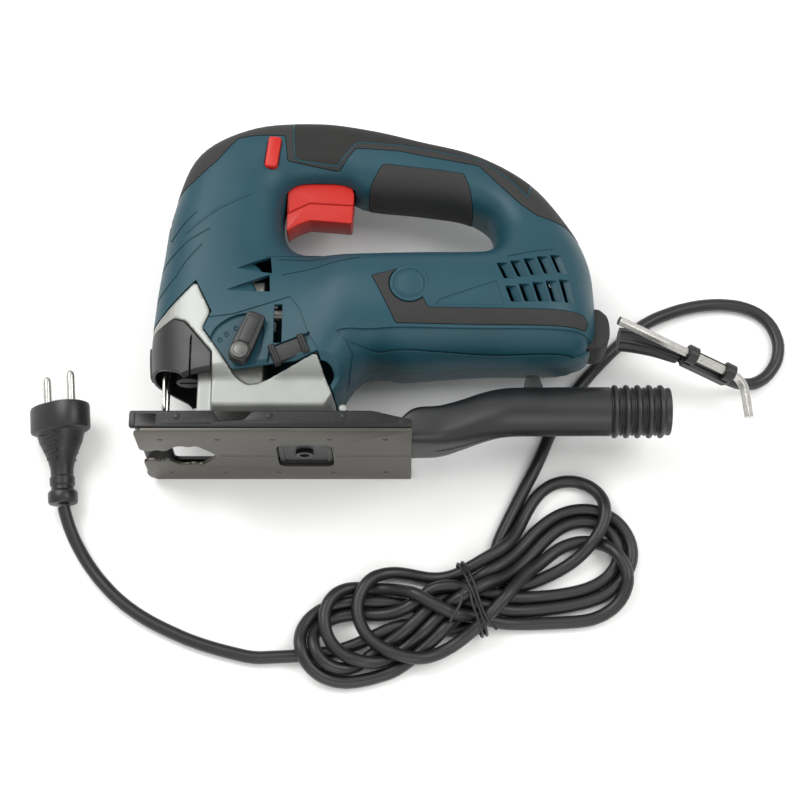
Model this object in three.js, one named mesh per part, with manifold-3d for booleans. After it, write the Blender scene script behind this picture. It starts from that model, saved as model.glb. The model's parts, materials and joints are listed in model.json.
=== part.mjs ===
// A corded D-handle jigsaw with its dust tube, hex key, mains lead and plug.
// The tool lies on its right side: X runs along it from the nose to the cord, Y from the
// sole up to the handle, Z across it, with its left side up and the table at z = 0.
import * as THREE from 'three';
import { mergeVertices } from 'three/addons/utils/BufferGeometryUtils.js';
import Module from 'manifold-3d';

const wasm = await Module();
wasm.setup();

// ---- driving dimensions, in mm --------------------------------------------------------
const gap = 0.3;             // between pieces that touch
const bodyWidth = 79;        // across the motor housing
const bodyRear = 110.5;      // rear of the housing, behind the blade-to-handle datum
const motorAxisY = 85.4;     // armature axis above the sole
const wall = 3.6;            // housing wall, with the overmould
const skin = 1.6;            // overmoulded rubber
const sectionPower = 2.5;    // squareness of the housing's section, 2 is an ellipse

const soleFront = -143.5;
const soleRear = 6.4;
const soleWidth = 80;
const soleThick = 2;
const baseHeight = 12;       // sole and bracket together
const sheet = 2;             // bracket sheet
const railWidth = 6;         // bracket's side rails
const bevelY = 13;           // height of the axis that the base tilts about
const footHalf = 23.5;       // half width of the housing's foot between the tilted rails
const footY = 18.5;          // underside of the foot

const tubeRadius = 13.8;     // dust tube
const tubeWall = 2.2;
const tubeRear = 151.2;

const plungerX = -119;
const plungerRadius = 5;
const bushWall = 2;
const stroke = 26;
const wheelRadius = 16.5;
const pinionRadius = 5;
const shaftRadius = 4;
const bearingRadius = 8;
const motorRoom = 31.6;       // clear of the housing's outer form, round the armature axis
const statorRadius = motorRoom - wall;

const cordDiameter = 7.2;
const pinSpacing = 19;
const pinLength = 19;
const pinDiameter = 4.8;

// ---- materials ------------------------------------------------------------------------
const finish = (color, roughness, metalness = 0) =>
  new THREE.MeshStandardMaterial({ color, roughness, metalness });
const petrol = finish(0x234c5c, 0.5);
const rubber = finish(0x2b2b2a, 0.75);
const blackPlastic = finish(0x1d1e1f, 0.45);
const redPlastic = finish(0xd9302a, 0.4);
const aluminium = finish(0xc3c7c4, 0.4, 0.9);
const steel = finish(0xb9bab6, 0.35, 0.9);
const soleSteel = finish(0x7b7c78, 0.45, 0.8);
const bracketBlack = finish(0x1a1b1c, 0.35, 0.5);
const laminate = finish(0x77787a, 0.6, 0.7);
const copper = finish(0xb5653a, 0.4, 0.9);
const bronze = finish(0xa98443, 0.5, 0.8);
const carbon = finish(0x303030, 0.8);
const nylon = finish(0xd8d4c8, 0.6);

// ---- solids ---------------------------------------------------------------------------
function solid(geometry) {
  const bare = geometry.index ? geometry.clone() : geometry;
  bare.deleteAttribute('normal');
  bare.deleteAttribute('uv');
  const merged = mergeVertices(bare, 1e-4);
  const mesh = new wasm.Mesh({
    numProp: 3,
    vertProperties: new Float32Array(merged.attributes.position.array),
    triVerts: new Uint32Array(merged.index.array),
  });
  return new wasm.Manifold(mesh);
}

function toGeometry(body) {
  const { vertProperties, triVerts } = body.getMesh();
  const geometry = new THREE.BufferGeometry();
  geometry.setAttribute('position', new THREE.BufferAttribute(vertProperties, 3));
  geometry.setIndex(new THREE.BufferAttribute(triVerts, 1));
  geometry.computeVertexNormals();
  return geometry;
}

function mirrored(body) {  // the right-hand copy of a left-hand piece
  const { vertProperties, triVerts } = body.getMesh();
  for (let i = 2; i < vertProperties.length; i += 3) vertProperties[i] *= -1;
  for (let i = 0; i < triVerts.length; i += 3) {
    [triVerts[i], triVerts[i + 1]] = [triVerts[i + 1], triVerts[i]];
  }
  return new wasm.Manifold(new wasm.Mesh({ numProp: 3, vertProperties, triVerts }));
}

const shapeOf = (points) => new THREE.Shape(points.map(([x, y]) => new THREE.Vector2(x, y)));

function prism(points, z0, z1) {  // an outline in XY, extruded along Z
  const shape = points instanceof THREE.Shape ? points : shapeOf(points);
  const g = new THREE.ExtrudeGeometry(shape, { depth: z1 - z0, bevelEnabled: false, curveSegments: 6 });
  return solid(g.translate(0, 0, z0));
}

function prismX(points, x0, x1) {  // an outline of [z, y] points, extruded along X
  const g = new THREE.ExtrudeGeometry(shapeOf(points.map(([z, y]) => [-z, y])),
    { depth: x1 - x0, bevelEnabled: false });
  return solid(g.rotateY(Math.PI / 2).translate(x0, 0, 0));
}

function prismY(points, y0, y1) {  // an outline of [x, z] points, extruded along Y
  const shape = points instanceof THREE.Shape ? points : shapeOf(points.map(([x, z]) => [x, -z]));
  const g = new THREE.ExtrudeGeometry(shape, { depth: y1 - y0, bevelEnabled: false, curveSegments: 6 });
  return solid(g.rotateX(-Math.PI / 2).translate(0, y0, 0));
}

function box(x0, x1, y0, y1, z0, z1) {
  const g = new THREE.BoxGeometry(x1 - x0, y1 - y0, z1 - z0);
  return solid(g.translate((x0 + x1) / 2, (y0 + y1) / 2, (z0 + z1) / 2));
}

function rodX(radius, x0, x1, y, z = 0, sides = 24) {
  const g = new THREE.CylinderGeometry(radius, radius, x1 - x0, sides);
  return solid(g.rotateZ(Math.PI / 2).translate((x0 + x1) / 2, y, z));
}

function rodY(radius, y0, y1, x, z = 0, sides = 24) {
  const g = new THREE.CylinderGeometry(radius, radius, y1 - y0, sides);
  return solid(g.translate(x, (y0 + y1) / 2, z));
}

function rodZ(radius, z0, z1, x, y, sides = 24) {
  const g = new THREE.CylinderGeometry(radius, radius, z1 - z0, sides);
  return solid(g.rotateX(Math.PI / 2).translate(x, y, (z0 + z1) / 2));
}

function capsule(length, radius, x, y, angle) {  // an outline with round ends
  const shape = new THREE.Shape();
  const straight = length / 2 - radius;
  shape.absarc(straight, 0, radius, -Math.PI / 2, Math.PI / 2);
  shape.absarc(-straight, 0, radius, Math.PI / 2, 1.5 * Math.PI);
  return shape.getPoints(6).slice(0, -1).map((p) => {
    const turned = p.rotateAround(new THREE.Vector2(), angle);
    return [x + turned.x, y + turned.y];
  });
}

function volumeOf(points, index) {
  const corner = (i) => new THREE.Vector3().fromArray(points, index[i] * 3);
  let sum = 0;
  for (let i = 0; i < index.length; i += 3) {
    sum += corner(i).dot(corner(i + 1).cross(corner(i + 2))) / 6;
  }
  return sum;
}

// A closed skin over rings of equal point counts; the loft runs round in a loop or has caps.
function loft(rings, closed) {
  const n = rings[0].length;
  const points = rings.flat().flatMap((p) => [p.x, p.y, p.z]);
  const index = [];
  const last = closed ? rings.length : rings.length - 1;
  for (let i = 0; i < last; i += 1) {
    const a = i * n;
    const b = ((i + 1) % rings.length) * n;
    for (let k = 0; k < n; k += 1) {
      const l = (k + 1) % n;
      index.push(a + k, b + k, b + l, a + k, b + l, a + l);
    }
  }
  if (!closed) {
    const end = (rings.length - 1) * n;
    for (let k = 1; k < n - 1; k += 1) {
      index.push(0, k, k + 1, end, end + k + 1, end + k);
    }
  }
  const geometry = new THREE.BufferGeometry();
  geometry.setAttribute('position', new THREE.Float32BufferAttribute(points, 3));
  geometry.setIndex(volumeOf(points, index) < 0 ? index.reverse() : index);
  return geometry;
}

function superellipse(count, power) {
  return Array.from({ length: count }, (_, k) => {
    const angle = (2 * Math.PI * k) / count;
    const c = Math.cos(angle);
    const s = Math.sin(angle);
    return [Math.sign(c) * Math.abs(c) ** (2 / power), Math.sign(s) * Math.abs(s) ** (2 / power)];
  });
}

// ---- the housing's outer form ---------------------------------------------------------
// Sections go round the handle opening: the section's inner end on the opening, its outer
// end on the silhouette, and its half width as a share of half of bodyWidth. The last
// column says whether the rear of the body carries the section when bodyRear changes.
const sections = [
  [-66.5, 150, -132, 145, 0.63], [-64.5, 158, -119, 183, 0.6],
  [-56, 163.5, -88, 201.5, 0.57], [-33, 163, -50, 205, 0.56],
  [-19, 156, -18, 201, 0.56], [12, 152.5, 12, 193, 0.56],
  [37, 148.5, 46, 183, 0.56], [50, 141.5, 77, 163, 0.6],
  [54, 134, 98, 135, 0.68], [54, 127, 108, 112, 0.8],
  [52, 121.5, 110.5, 90, 0.9], [46, 118.8, 109.5, 65, 0.96],
  [34, 118.3, 97, 53, 0.99], [10, 118.2, 45, 51.8, 1],
  [-14, 117.8, 5, 49, 1], [-36, 117.3, -22, 47, 0.97],
  [-50, 118.3, -50, 4, 0.89], [-59, 121.5, -92, -4, 0.81],
  [-63.5, 126, -131, 8, 0.75], [-66, 131, -140, 50, 0.71],
  [-67.2, 137, -139.2, 85, 0.69], [-67.5, 143, -136, 115, 0.66],
];
const rearScale = bodyRear / 110.5;
const behind = (x) => (x > 0 ? x * rearScale : x);
const curveOf = (column) => new THREE.CatmullRomCurve3(
  sections.map((s) => new THREE.Vector3(behind(s[column]), s[column + 1], s[4] * bodyWidth / 2)),
  true, 'catmullrom', 0.5);
const innerEdge = curveOf(0);
const outerEdge = curveOf(2);

function bodyForm(inset, sides = 14, steps = 32) {  // shrunk by inset on every side
  const ring = superellipse(sides, sectionPower);
  const rings = Array.from({ length: steps }, (_, i) => {
    const a = innerEdge.getPoint(i / steps);
    const b = outerEdge.getPoint(i / steps);
    const half = a.z - inset;
    a.z = 0;
    b.z = 0;
    const reach = b.distanceTo(a) / 2 - inset;
    const middle = a.clone().lerp(b, 0.5);
    const outward = b.clone().sub(a).normalize();
    return ring.map(([c, s]) => {
      const p = middle.clone().addScaledVector(outward, c * reach);
      p.z = s * half;
      return p;
    });
  });
  return solid(loft(rings, true));
}

const FAR = 400;
const hull = bodyForm(0);
const core = bodyForm(skin);
const coreClear = bodyForm(skin + gap);
const hollow = bodyForm(wall, 12, 26);

// The foot narrows below its shoulders, so that the tilted base passes beside it.
const shoulderY = 37;
const footChamfer = 3.7;
const shoulderReach = 36;
const footOutline = [
  [footHalf - footChamfer, -20], [footHalf - footChamfer, footY], [footHalf, footY + footChamfer],
  [footHalf, shoulderY], [footHalf + shoulderReach, shoulderY + shoulderReach],
  [footHalf + shoulderReach, -20],
];
const footRelief = [1, -1].map((side) => prismX(
  footOutline.map(([z, y]) => [side * z, y]), -170, -24)).reduce((a, b) => a.add(b));
const trimmed = hull.subtract(footRelief);

// ---- zones on the side of the housing -------------------------------------------------
const gripZone = [
  [-160, 158], [-130, 154], [-117.8, 162.2], [-106, 173], [-94, 189.4], [-84, 190.6],
  [-66.8, 190.2], [-65.2, 173.7], [-34.8, 168.6], [-25.4, 181.7], [0, 179.7], [18, 175.6],
  [45.4, 170.3], [69.7, 143], [77.8, 135.8], [94, 129.9], [100, 125], [behind(125), 118],
  [behind(140), 240], [-160, 240],
];
const palmZone = [
  [-19.2, 140], [-19.2, 152.5], [-16.9, 160.5], [-9.9, 171.8], [24, 167.5], [37, 165.2],
  [40.4, 156.5], [42.6, 146], [42.6, 132],
];
const bandZone = [
  [-2.6, 64.9], [-16, 92.8], [1.3, 97.8], [7, 88], [12.7, 79.1], [15.5, 73.5],
  [behind(101.7), 72.6], [behind(105), 69.8], [behind(103), 64.2],
];
const caseZone = [
  [-114.5, 94.9], [-105.2, 75.5], [-109.5, 65.6], [-91.4, 38.6], [-84, 33.8], [-79, 34.5],
  [-45.5, 48.9], [-36.2, 26.6], [-29.5, 23.2], [-27.4, footY], [-103.6, footY], [-103.6, 50.6],
  [-119.4, 70.4], [-126, 73], [-132.5, 69.8], [-150, 62], [-150, 64.6], [-133.9, 74.9],
];
const leverZone = [
  [-150, 61], [-132.4, 69], [-126, 72.2], [-119.9, 69.8], [-104.4, 50.2], [-104.4, 25],
  [-112, 25], [-116, 29.5], [-122, 38.5], [-134, 43], [-150, 44],
];
const underShell = [
  [-160, -30], [-160, 61], [-134.6, 75.2], [-114.4, 95.4], [-104.8, 75.5], [-109.1, 65.6],
  [-91.1, 39], [-83.9, 34.2], [-79.1, 34.9], [-45.3, 49.5], [-36, 27.2], [-29.2, 23.6],
  [-29.2, -30],
];
const badgeX = 5.2;
const badgeY = 87.6;
const badgeRadius = 8.3;

const badgeSeat = rodZ(badgeRadius + gap, 25, 50, badgeX, badgeY);

// ---- scene graph ----------------------------------------------------------------------
const jigsaw = new THREE.Group();
const tool = new THREE.Group();   // in the tool's own frame: sole at y = 0, middle at z = 0
const middleX = (soleFront - 2 + tubeRear) / 2;
const handleTop = 205.6;
tool.position.set(-middleX, -handleTop / 2, soleWidth / 2);
jigsaw.add(tool);

function piece(name, body, material, parent = tool) {
  const geometry = body.isBufferGeometry ? body : toGeometry(body);
  const mesh = new THREE.Mesh(geometry, material);
  mesh.name = name;
  parent.add(mesh);
  return mesh;
}

function sides(name, left, material) {
  piece(`${name}_left`, left, material);
  piece(`${name}_right`, mirrored(left), material);
}

const leftHalf = box(-FAR, FAR, -FAR, FAR, gap / 2, FAR);
const leftOf = (body) => body.intersect(leftHalf);

// ---- motor housing: two petrol half shells --------------------------------------------
const triggerSlide = 6;
const triggerZone = [
  [-65.4, 165.5], [-65.6, 138.5], [-63.8, 136], [-60.4, 139.6], [-55.5, 142.2], [-46, 142],
  [-27.8, 140.2], [-26.6, 158.5], [-28.4, 165.5],
];
const triggerHalf = 9;
const triggerTop = 165.5;
const triggerPlay = triggerHalf + 0.6;
const triggerSlot = box(-66.2, -25.9, 135, triggerTop + triggerSlide + 1, -triggerPlay, triggerPlay);
const lockX = -73.6;
const lockY = 178.6;
const lockTilt = THREE.MathUtils.degToRad(83);
const lockLength = 20.5;
const lockWidth = 7.6;
const lockOutline = (more) => capsule(lockLength + 2 * more, lockWidth / 2 + more, lockX, lockY, lockTilt);
const lockSlot = prism(lockOutline(gap), 8, 40);
const glandZone = [
  [behind(100), 59.5], [behind(100), 84.5], [behind(113.6), 84.2], [behind(117.8), 79.6],
  [behind(118.4), 66], [behind(113.8), 59.6],
];
const glandHalf = 12.5;
const glandSlot = box(behind(98), 140, 58.9, 85.1, -glandHalf - gap, glandHalf + gap);

function slat(x0, x1, y0, y1, lean) {  // one slanted vent opening through the side
  return prism([[x0, y0], [x1, y0], [x1 - lean, y1], [x0 - lean, y1]], 20, 45);
}
const slatPitch = 7.6;
const slatWidth = 3.6;
const slatRow = (start, outline) => Array.from({ length: 5 }, (_, i) => {
  const x = start + i * slatPitch;
  return slat(x, x + slatWidth, ...outline(i));
});
const upperSlats = slatRow(59, (i) => [91 + i * 1.4, 101 + i * 1.5, 4]);
const lowerSlats = slatRow(63, (i) => [77.4, 86 + i * 1.4, 3]);
const frontScoops = [
  prism([[-72.6, 100.4], [-73.4, 109.6], [-88.6, 103.2]], 12, 45),
  prism([[-73.2, 89.6], [-73.2, 97.6], [-93, 90.8]], 12, 45),
];
const statorFront = -20;
const statorRear = 30;
const rearBearingX = 80;
const bearingWidth = 7;
const ribs = [
  [statorFront + 6, statorFront + 9, statorRadius + gap],
  [statorRear - 8, statorRear - 5, statorRadius + gap],
  [behind(rearBearingX), behind(rearBearingX) + bearingWidth, bearingRadius + gap],
].map(([x0, x1, radius]) => box(x0, x1, 20, motorAxisY + 60, -60, 60)
  .subtract(rodX(radius, x0 - 1, x1 + 1, motorAxisY)));
const cavity = ribs.reduce((left, rib) => left.subtract(rib), hollow);

// The gear case fills the nose, narrower above the motor shaft, and the shells fit round it.
const caseHalf = 20;
const upperHalf = 18.5;
const caseFront = -112;
const caseRear = -76;
const caseShoulder = 97;
const wheelY = motorAxisY + wheelRadius + pinionRadius + 0.6;
const caseTop = wheelY + 33;
const upperRear = -85;
const caseForm = (more) => box(caseFront - more, caseRear + more, footY, caseShoulder + more,
  -caseHalf - more, caseHalf + more).add(box(caseFront - more, upperRear + more,
  caseShoulder - 1, caseTop + more, -upperHalf - more, upperHalf + more));
const caseBlock = caseForm(0);
const bushRadius = plungerRadius + bushWall;
const bridgeHalf = bushRadius + 3.5;
const bridgeFront = plungerX - bushRadius - 2.6;
const bridge = (y0, y1, more) => box(bridgeFront - more, caseFront + 1, y0 - more, y1 + more,
  -bridgeHalf - more, bridgeHalf + more);
const lowerBushY = wheelY - 38;
const upperBushY = wheelY + 24.5;
const bushLength = 8;
const lowerBridge = (more) => bridge(lowerBushY, lowerBushY + bushLength, more);
const upperBridge = (more) => bridge(upperBushY, upperBushY + bushLength, more);
const leverShaft = [-87.6, 48.4];
const leverShaftRadius = 3;
const leverBore = rodZ(leverShaftRadius + gap, 10, FAR, ...leverShaft);
const blowerX = -61;
const blowerY = 50.2;
const blowerTilt = THREE.MathUtils.degToRad(22);
const blowerSlide = 5;
const blowerFloor = bodyWidth / 2 - 10.9;
const blowerLength = 21;
const blowerRadius = 6.8;
const blowerOutline = (longer, more) => capsule(blowerLength + longer, blowerRadius + more,
  blowerX, blowerY, blowerTilt);
const blowerSlot = prism(blowerOutline(2 * blowerSlide + 1, 0.4), blowerFloor, 45);

const shellCuts = [
  cavity,
  ...[gripZone, palmZone, bandZone].map((zone) => prism(zone, -FAR, FAR).subtract(coreClear)),
  badgeSeat.add(mirrored(badgeSeat)).subtract(coreClear),
  prism(underShell, -FAR, FAR), caseForm(gap), upperBridge(gap),
  triggerSlot, lockSlot, glandSlot, leverBore, blowerSlot,
  ...upperSlats, ...lowerSlats, ...frontScoops,
];
sides('housing', leftOf(shellCuts.reduce((left, cut) => left.subtract(cut), trimmed)), petrol);

// ---- overmoulded rubber ---------------------------------------------------------------
const overmould = (zone) => prism(zone, -FAR, FAR).intersect(hull).subtract(core);
sides('top_grip', leftOf(overmould(gripZone).subtract(lockSlot)), rubber);
sides('palm_insert', leftOf(overmould(palmZone)), rubber);
sides('side_band', leftOf(overmould(bandZone).subtract(badgeSeat)), rubber);
sides('badge', leftOf(rodZ(badgeRadius, 25, 50, badgeX, badgeY).intersect(hull).subtract(core)), petrol);

// ---- gear case, cast aluminium --------------------------------------------------------
const bulkheadX = -84;
const wheelFront = -98;
const wheelThick = 8;
const axleRadius = 3;
const chamberHalf = wheelRadius + 1;
const chamberFloor = lowerBushY + bushLength + 1;
const footInner = caseHalf - 3.5;
const caseCuts = [
  box(caseFront - 1, upperRear - 4, chamberFloor, upperBushY - 1, -chamberHalf, chamberHalf),
  box(upperRear - 5, bulkheadX, chamberFloor, caseShoulder - 4, -chamberHalf, chamberHalf),
  box(caseFront - 1, caseRear - 5, footY + 8, lowerBushY - 5, -footInner, footInner),
  box(caseFront - 1, -103.2, 0, lowerBushY - 5, -footInner, footInner),
  rodX(bearingRadius + gap, bulkheadX - 1, bulkheadX + bearingWidth, motorAxisY),
  rodX(shaftRadius + 1, bulkheadX, caseRear + 1, motorAxisY),
  rodX(axleRadius + gap, upperRear - 5, upperRear + 1, wheelY),
  rodY(bushRadius + gap, lowerBushY - 10, caseTop + 10, plungerX),
  leverBore,
];
const leverClear = prism([[-150, 62], [-132.5, 69.8], [-126, 73], [-119.4, 70.4], [-103.6, 50.6],
  [-103.6, 0], [-150, 0]], -FAR, FAR).subtract(lowerBridge(0)).subtract(caseBlock);
const caseFrame = prism(caseZone, -FAR, FAR).intersect(trimmed);
const noseHollow = hollow.intersect(box(-FAR, caseFront, 51, FAR, -FAR, FAR));
const gearCase = caseFrame.subtract(noseHollow).subtract(leverClear)
  .add(caseBlock).add(upperBridge(0)).add(lowerBridge(0));
piece('gear_case', caseCuts.reduce((left, cut) => left.subtract(cut), gearCase), aluminium);
const bush = (y) => rodY(bushRadius, y, y + bushLength, plungerX)
  .subtract(rodY(plungerRadius + gap, y - 1, y + bushLength + 1, plungerX));
piece('upper_plunger_bush', bush(upperBushY), bronze);
piece('lower_plunger_bush', bush(lowerBushY), bronze);

// ---- nose lever over the blade clamp --------------------------------------------------
const leverWall = 2.4;
const leverForm = prism(leverZone, -FAR, FAR).intersect(trimmed)
  .subtract(bodyForm(leverWall));
const leverInner = footHalf - leverWall;
piece('nose_lever', leverForm.subtract(box(-122, -90, 0, 90, -leverInner, leverInner)), blackPlastic);

// ---- wire guard in front of the blade -------------------------------------------------
const guardHalf = 8;
const guardTop = 68.5;
const guardBottom = 22.5;
const guardX = -131.6;
const guardBend = 6;
const guardPoints = [
  [guardTop, 1], [guardBottom + guardBend, 1], [guardBottom, 0.6], [guardBottom, -0.6],
  [guardBottom + guardBend, -1], [guardTop, -1],
].map(([y, side]) => new THREE.Vector3(guardX, y, side * guardHalf));
const guardCurve = new THREE.CatmullRomCurve3(guardPoints, false, 'catmullrom', 0.2);
const circle = (radius, count) => new THREE.Shape(superellipse(count, 2)
  .map(([c, s]) => new THREE.Vector2(c * radius, s * radius)));
const swept = (path, radius, count, steps) => new THREE.ExtrudeGeometry(circle(radius, count),
  { extrudePath: path, steps, bevelEnabled: false });
piece('guard_wire', solid(swept(guardCurve, 1.2, 8, 20)), steel);

// ---- plunger, driven up and down by the wheel's crank pin -----------------------------
const yokeHalf = 7;
const yokeReach = chamberHalf - 1;
const slideHalf = axleRadius + 0.4;
const yoke = box(-110, -107, wheelY - yokeHalf, wheelY + yokeHalf, -yokeReach, yokeReach)
  .subtract(box(-111, -106, wheelY - slideHalf, wheelY + slideHalf, -yokeReach + 2, yokeReach - 2))
  .add(box(plungerX, -109.5, wheelY - yokeHalf, wheelY + yokeHalf, -4, 4));
const clampTop = lowerBushY - stroke / 2 - 1;
const clampHeight = 12;
const clampRadius = 7.2;
const clampSeat = 3;
const clampBottom = clampTop - clampHeight;
const plungerTop = upperBushY + bushLength + 2;
piece('plunger', rodY(plungerRadius, clampBottom + clampSeat, plungerTop, plungerX).add(yoke), steel);
piece('blade_clamp', rodY(clampRadius, clampBottom, clampTop, plungerX, 0, 20)
  .subtract(rodY(plungerRadius + gap, clampBottom + clampSeat - gap, clampTop + 1, plungerX))
  .subtract(box(plungerX - 5, plungerX + 5, 0, clampBottom + 6, -1, 1)), blackPlastic);

function gearOutline(radius, depth, teeth) {  // [z, y] points round the origin
  return Array.from({ length: teeth * 4 }, (_, k) => {
    const angle = (2 * Math.PI * (k + 0.5)) / (teeth * 4);
    const r = k % 4 < 2 ? radius : radius - depth;
    return [Math.cos(angle) * r, Math.sin(angle) * r];
  });
}
const placed = (points, y) => points.map(([c, s]) => [c, s + y]);
const wheelRear = wheelFront + wheelThick;
const crankPin = rodX(axleRadius - 0.2, -106.5, wheelFront + 2, wheelY, stroke / 2, 16);
piece('gear_wheel', prismX(placed(gearOutline(wheelRadius, 1.2, 24), wheelY), wheelFront, wheelRear)
  .subtract(rodX(axleRadius + gap, wheelFront - 1, wheelRear + 1, wheelY)).add(crankPin), steel);
piece('gear_axle', rodX(axleRadius, wheelFront - 0.5, upperRear - 0.2, wheelY), steel);

// ---- motor ----------------------------------------------------------------------------
const pinionRear = wheelRear + 1;
const pinionOutline = placed(gearOutline(pinionRadius, 1, 10), motorAxisY);
piece('pinion', prismX(pinionOutline, wheelFront - 1, pinionRear), steel);
const onShaft = (radius, x0, x1) => rodX(radius, x0, x1, motorAxisY)
  .subtract(rodX(shaftRadius + gap, x0 - 1, x1 + 1, motorAxisY));
const rearBearingAt = behind(rearBearingX);
const shaftRear = rearBearingAt + bearingWidth + 1;
piece('armature_shaft', rodX(shaftRadius, pinionRear + gap, shaftRear, motorAxisY), steel);
piece('armature_core', onShaft(17, statorFront + 2, statorRear - 2), laminate);
const commutatorX = 46;
piece('commutator', onShaft(11, commutatorX, commutatorX + 14), copper);
const fanX = -52;
const fanBlades = Array.from({ length: 8 }, (_, k) => {
  const g = new THREE.BoxGeometry(8, 12, 1.6).translate(fanX + 4, 17, 0);
  return solid(g.rotateX((k * Math.PI) / 4).translate(0, motorAxisY, 0));
});
const fanHub = onShaft(24, fanX + 8, fanX + 10).add(onShaft(12, fanX, fanX + 9));
piece('fan', fanBlades.reduce((a, b) => a.add(b), fanHub), nylon);
piece('front_bearing', rodX(bearingRadius, bulkheadX, bulkheadX + bearingWidth - gap, motorAxisY)
  .subtract(rodX(shaftRadius + gap, bulkheadX - 1, bulkheadX + 9, motorAxisY)), steel);
piece('rear_bearing', onShaft(bearingRadius, rearBearingAt + gap, rearBearingAt + bearingWidth - gap), steel);
piece('stator', rodX(statorRadius, statorFront, statorRear, motorAxisY, 0, 32)
  .subtract(rodX(18.3, statorFront - 1, statorRear + 1, motorAxisY, 0, 28)), laminate);
const brushX = commutatorX + 7;
const carrier = box(brushX - 5, brushX + 5, motorAxisY - 4.5, motorAxisY + 4.5, 12.5, 29)
  .subtract(box(brushX - 3.3, brushX + 3.3, motorAxisY - 2.8, motorAxisY + 2.8, 12, 27));
sides('brush_holder', carrier, bronze);
sides('carbon_brush', box(brushX - 3, brushX + 3, motorAxisY - 2.5, motorAxisY + 2.5, 11.3, 24), carbon);

// ---- switch, trigger and lock-on button -----------------------------------------------
piece('switch_body', box(-61, -24, 173, 193, -9.5, 9.5), blackPlastic);
piece('trigger', prism(triggerZone, -triggerHalf, triggerHalf), redPlastic);
piece('lock_button', prism(lockOutline(0), 13, 23.6), redPlastic);

// ---- controls on the left side --------------------------------------------------------
const leverFace = bodyWidth / 2 - 6.9;
const orbitArm = capsule(31, 5.6, -84.4, 56.8, THREE.MathUtils.degToRad(69));
piece('orbital_lever', prism(orbitArm, leverFace, leverFace + 5)
  .add(rodZ(leverShaftRadius, 12, leverFace + 1, ...leverShaft)), blackPlastic);
piece('blower_slider', prism(blowerOutline(0, 0), blowerFloor + gap, blowerFloor + 5.4), blackPlastic);

// ---- cord entry -----------------------------------------------------------------------
piece('cord_gland', prism(glandZone, -glandHalf, glandHalf), rubber);

// ---- guide roller behind the blade ----------------------------------------------------
const rollerX = -109.5;
const rollerY = 24;
const rollerRadius = 5.5;
const forkPivot = [-101, 52];
const fork = prism([[-104, 49], [-104, 55], [-98, 55], [-98, 49], [-103.5, 30], [-106, 22.5],
  [rollerX - 2.5, 21.5], [rollerX - 1.5, 26.5]], -5.5, 5.5)
  .subtract(rodZ(rollerRadius + 0.6, -2.4, 2.4, rollerX, rollerY))
  .subtract(rodZ(1.5 + gap, -FAR, FAR, rollerX, rollerY))
  .subtract(rodZ(1.5 + gap, -FAR, FAR, ...forkPivot));
piece('roller_fork', fork, steel);
piece('guide_roller', rodZ(rollerRadius, -2, 2, rollerX, rollerY)
  .subtract(rodZ(1.5 + gap, -3, 3, rollerX, rollerY)), steel);
piece('roller_pin', rodZ(1.5, -5.5, 5.5, rollerX, rollerY, 16), steel);
piece('fork_pin', rodZ(1.5, -caseHalf + 3.8, caseHalf - 3.8, ...forkPivot, 16), steel);

// ---- base: sole plate, bracket, saddle and clamp --------------------------------------
const soleHalf = soleWidth / 2;
const slotHalf = 15.5;
const slotMouth = 7;
const solePoints = [
  [soleRear, soleHalf], [soleFront + 4, soleHalf], [soleFront, soleHalf - 5],
  [soleFront, slotMouth + 2], [soleFront + 6, slotMouth], [-131, slotMouth], [-122, slotHalf],
  [-111, slotHalf], [-105, slotMouth], [-101, 0],
];
const farPoints = solePoints.slice(0, -1).reverse().map(([x, z]) => [x, -z]);
const soleOutline = solePoints.concat(farPoints);
const windowX = [-68, -37];
const windowHalf = 17.7;
piece('sole_plate', prismY(soleOutline, 0, soleThick)
  .subtract(box(windowX[0], windowX[1], -1, 5, -windowHalf, windowHalf)), soleSteel);
const bracketSide = [
  [soleFront - 2, soleThick + gap], [soleFront - 2, baseHeight], [-100.5, baseHeight], [-97, 5.6],
  [-84, 6.4], [-79, baseHeight], [-15, baseHeight], [soleRear, 6.4], [soleRear, soleThick + gap],
];
const innerSide = [
  [soleFront - 4, 0], [soleFront - 4, baseHeight - sheet], [-101.6, baseHeight - sheet], [-98, 4.2],
  [-83, 4.2], [-78, baseHeight - sheet], [-16, baseHeight - sheet], [soleRear + 2, 4.2], [soleRear + 2, 0],
];
const hoopRear = -129;
const crossRear = -8;
const bracket = prism(bracketSide, -soleHalf, soleHalf)
  .subtract(prism(innerSide, -soleHalf + sheet, soleHalf - sheet))
  .subtract(box(hoopRear, crossRear, 0, 20, -soleHalf + railWidth, soleHalf - railWidth))
  .subtract(box(crossRear - 1, 20, 0, 20, -20, 20))
  .subtract(box(soleFront + 1, hoopRear - 2, soleThick + 1, baseHeight - sheet, -60, 60));
piece('base_bracket', bracket, bracketBlack);
const barX = [-72, -34];
piece('clamp_bar', rodX(4.6, barX[0], barX[1], bevelY, 0, 20)
  .add(box(barX[0], barX[1], bevelY, footY - gap, -3.2, 3.2)), steel);
piece('base_saddle', box(barX[0], barX[1], soleThick + gap, bevelY - 1.5, -8, 8)
  .subtract(rodX(5, barX[0] - 1, barX[1] + 1, bevelY, 0, 24)), bracketBlack);
piece('base_screw', rodY(5, 0.3, soleThick, -53, 0, 20)
  .subtract(rodY(2.9, -1, 1.4, -53, 0, 6)), steel);

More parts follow.
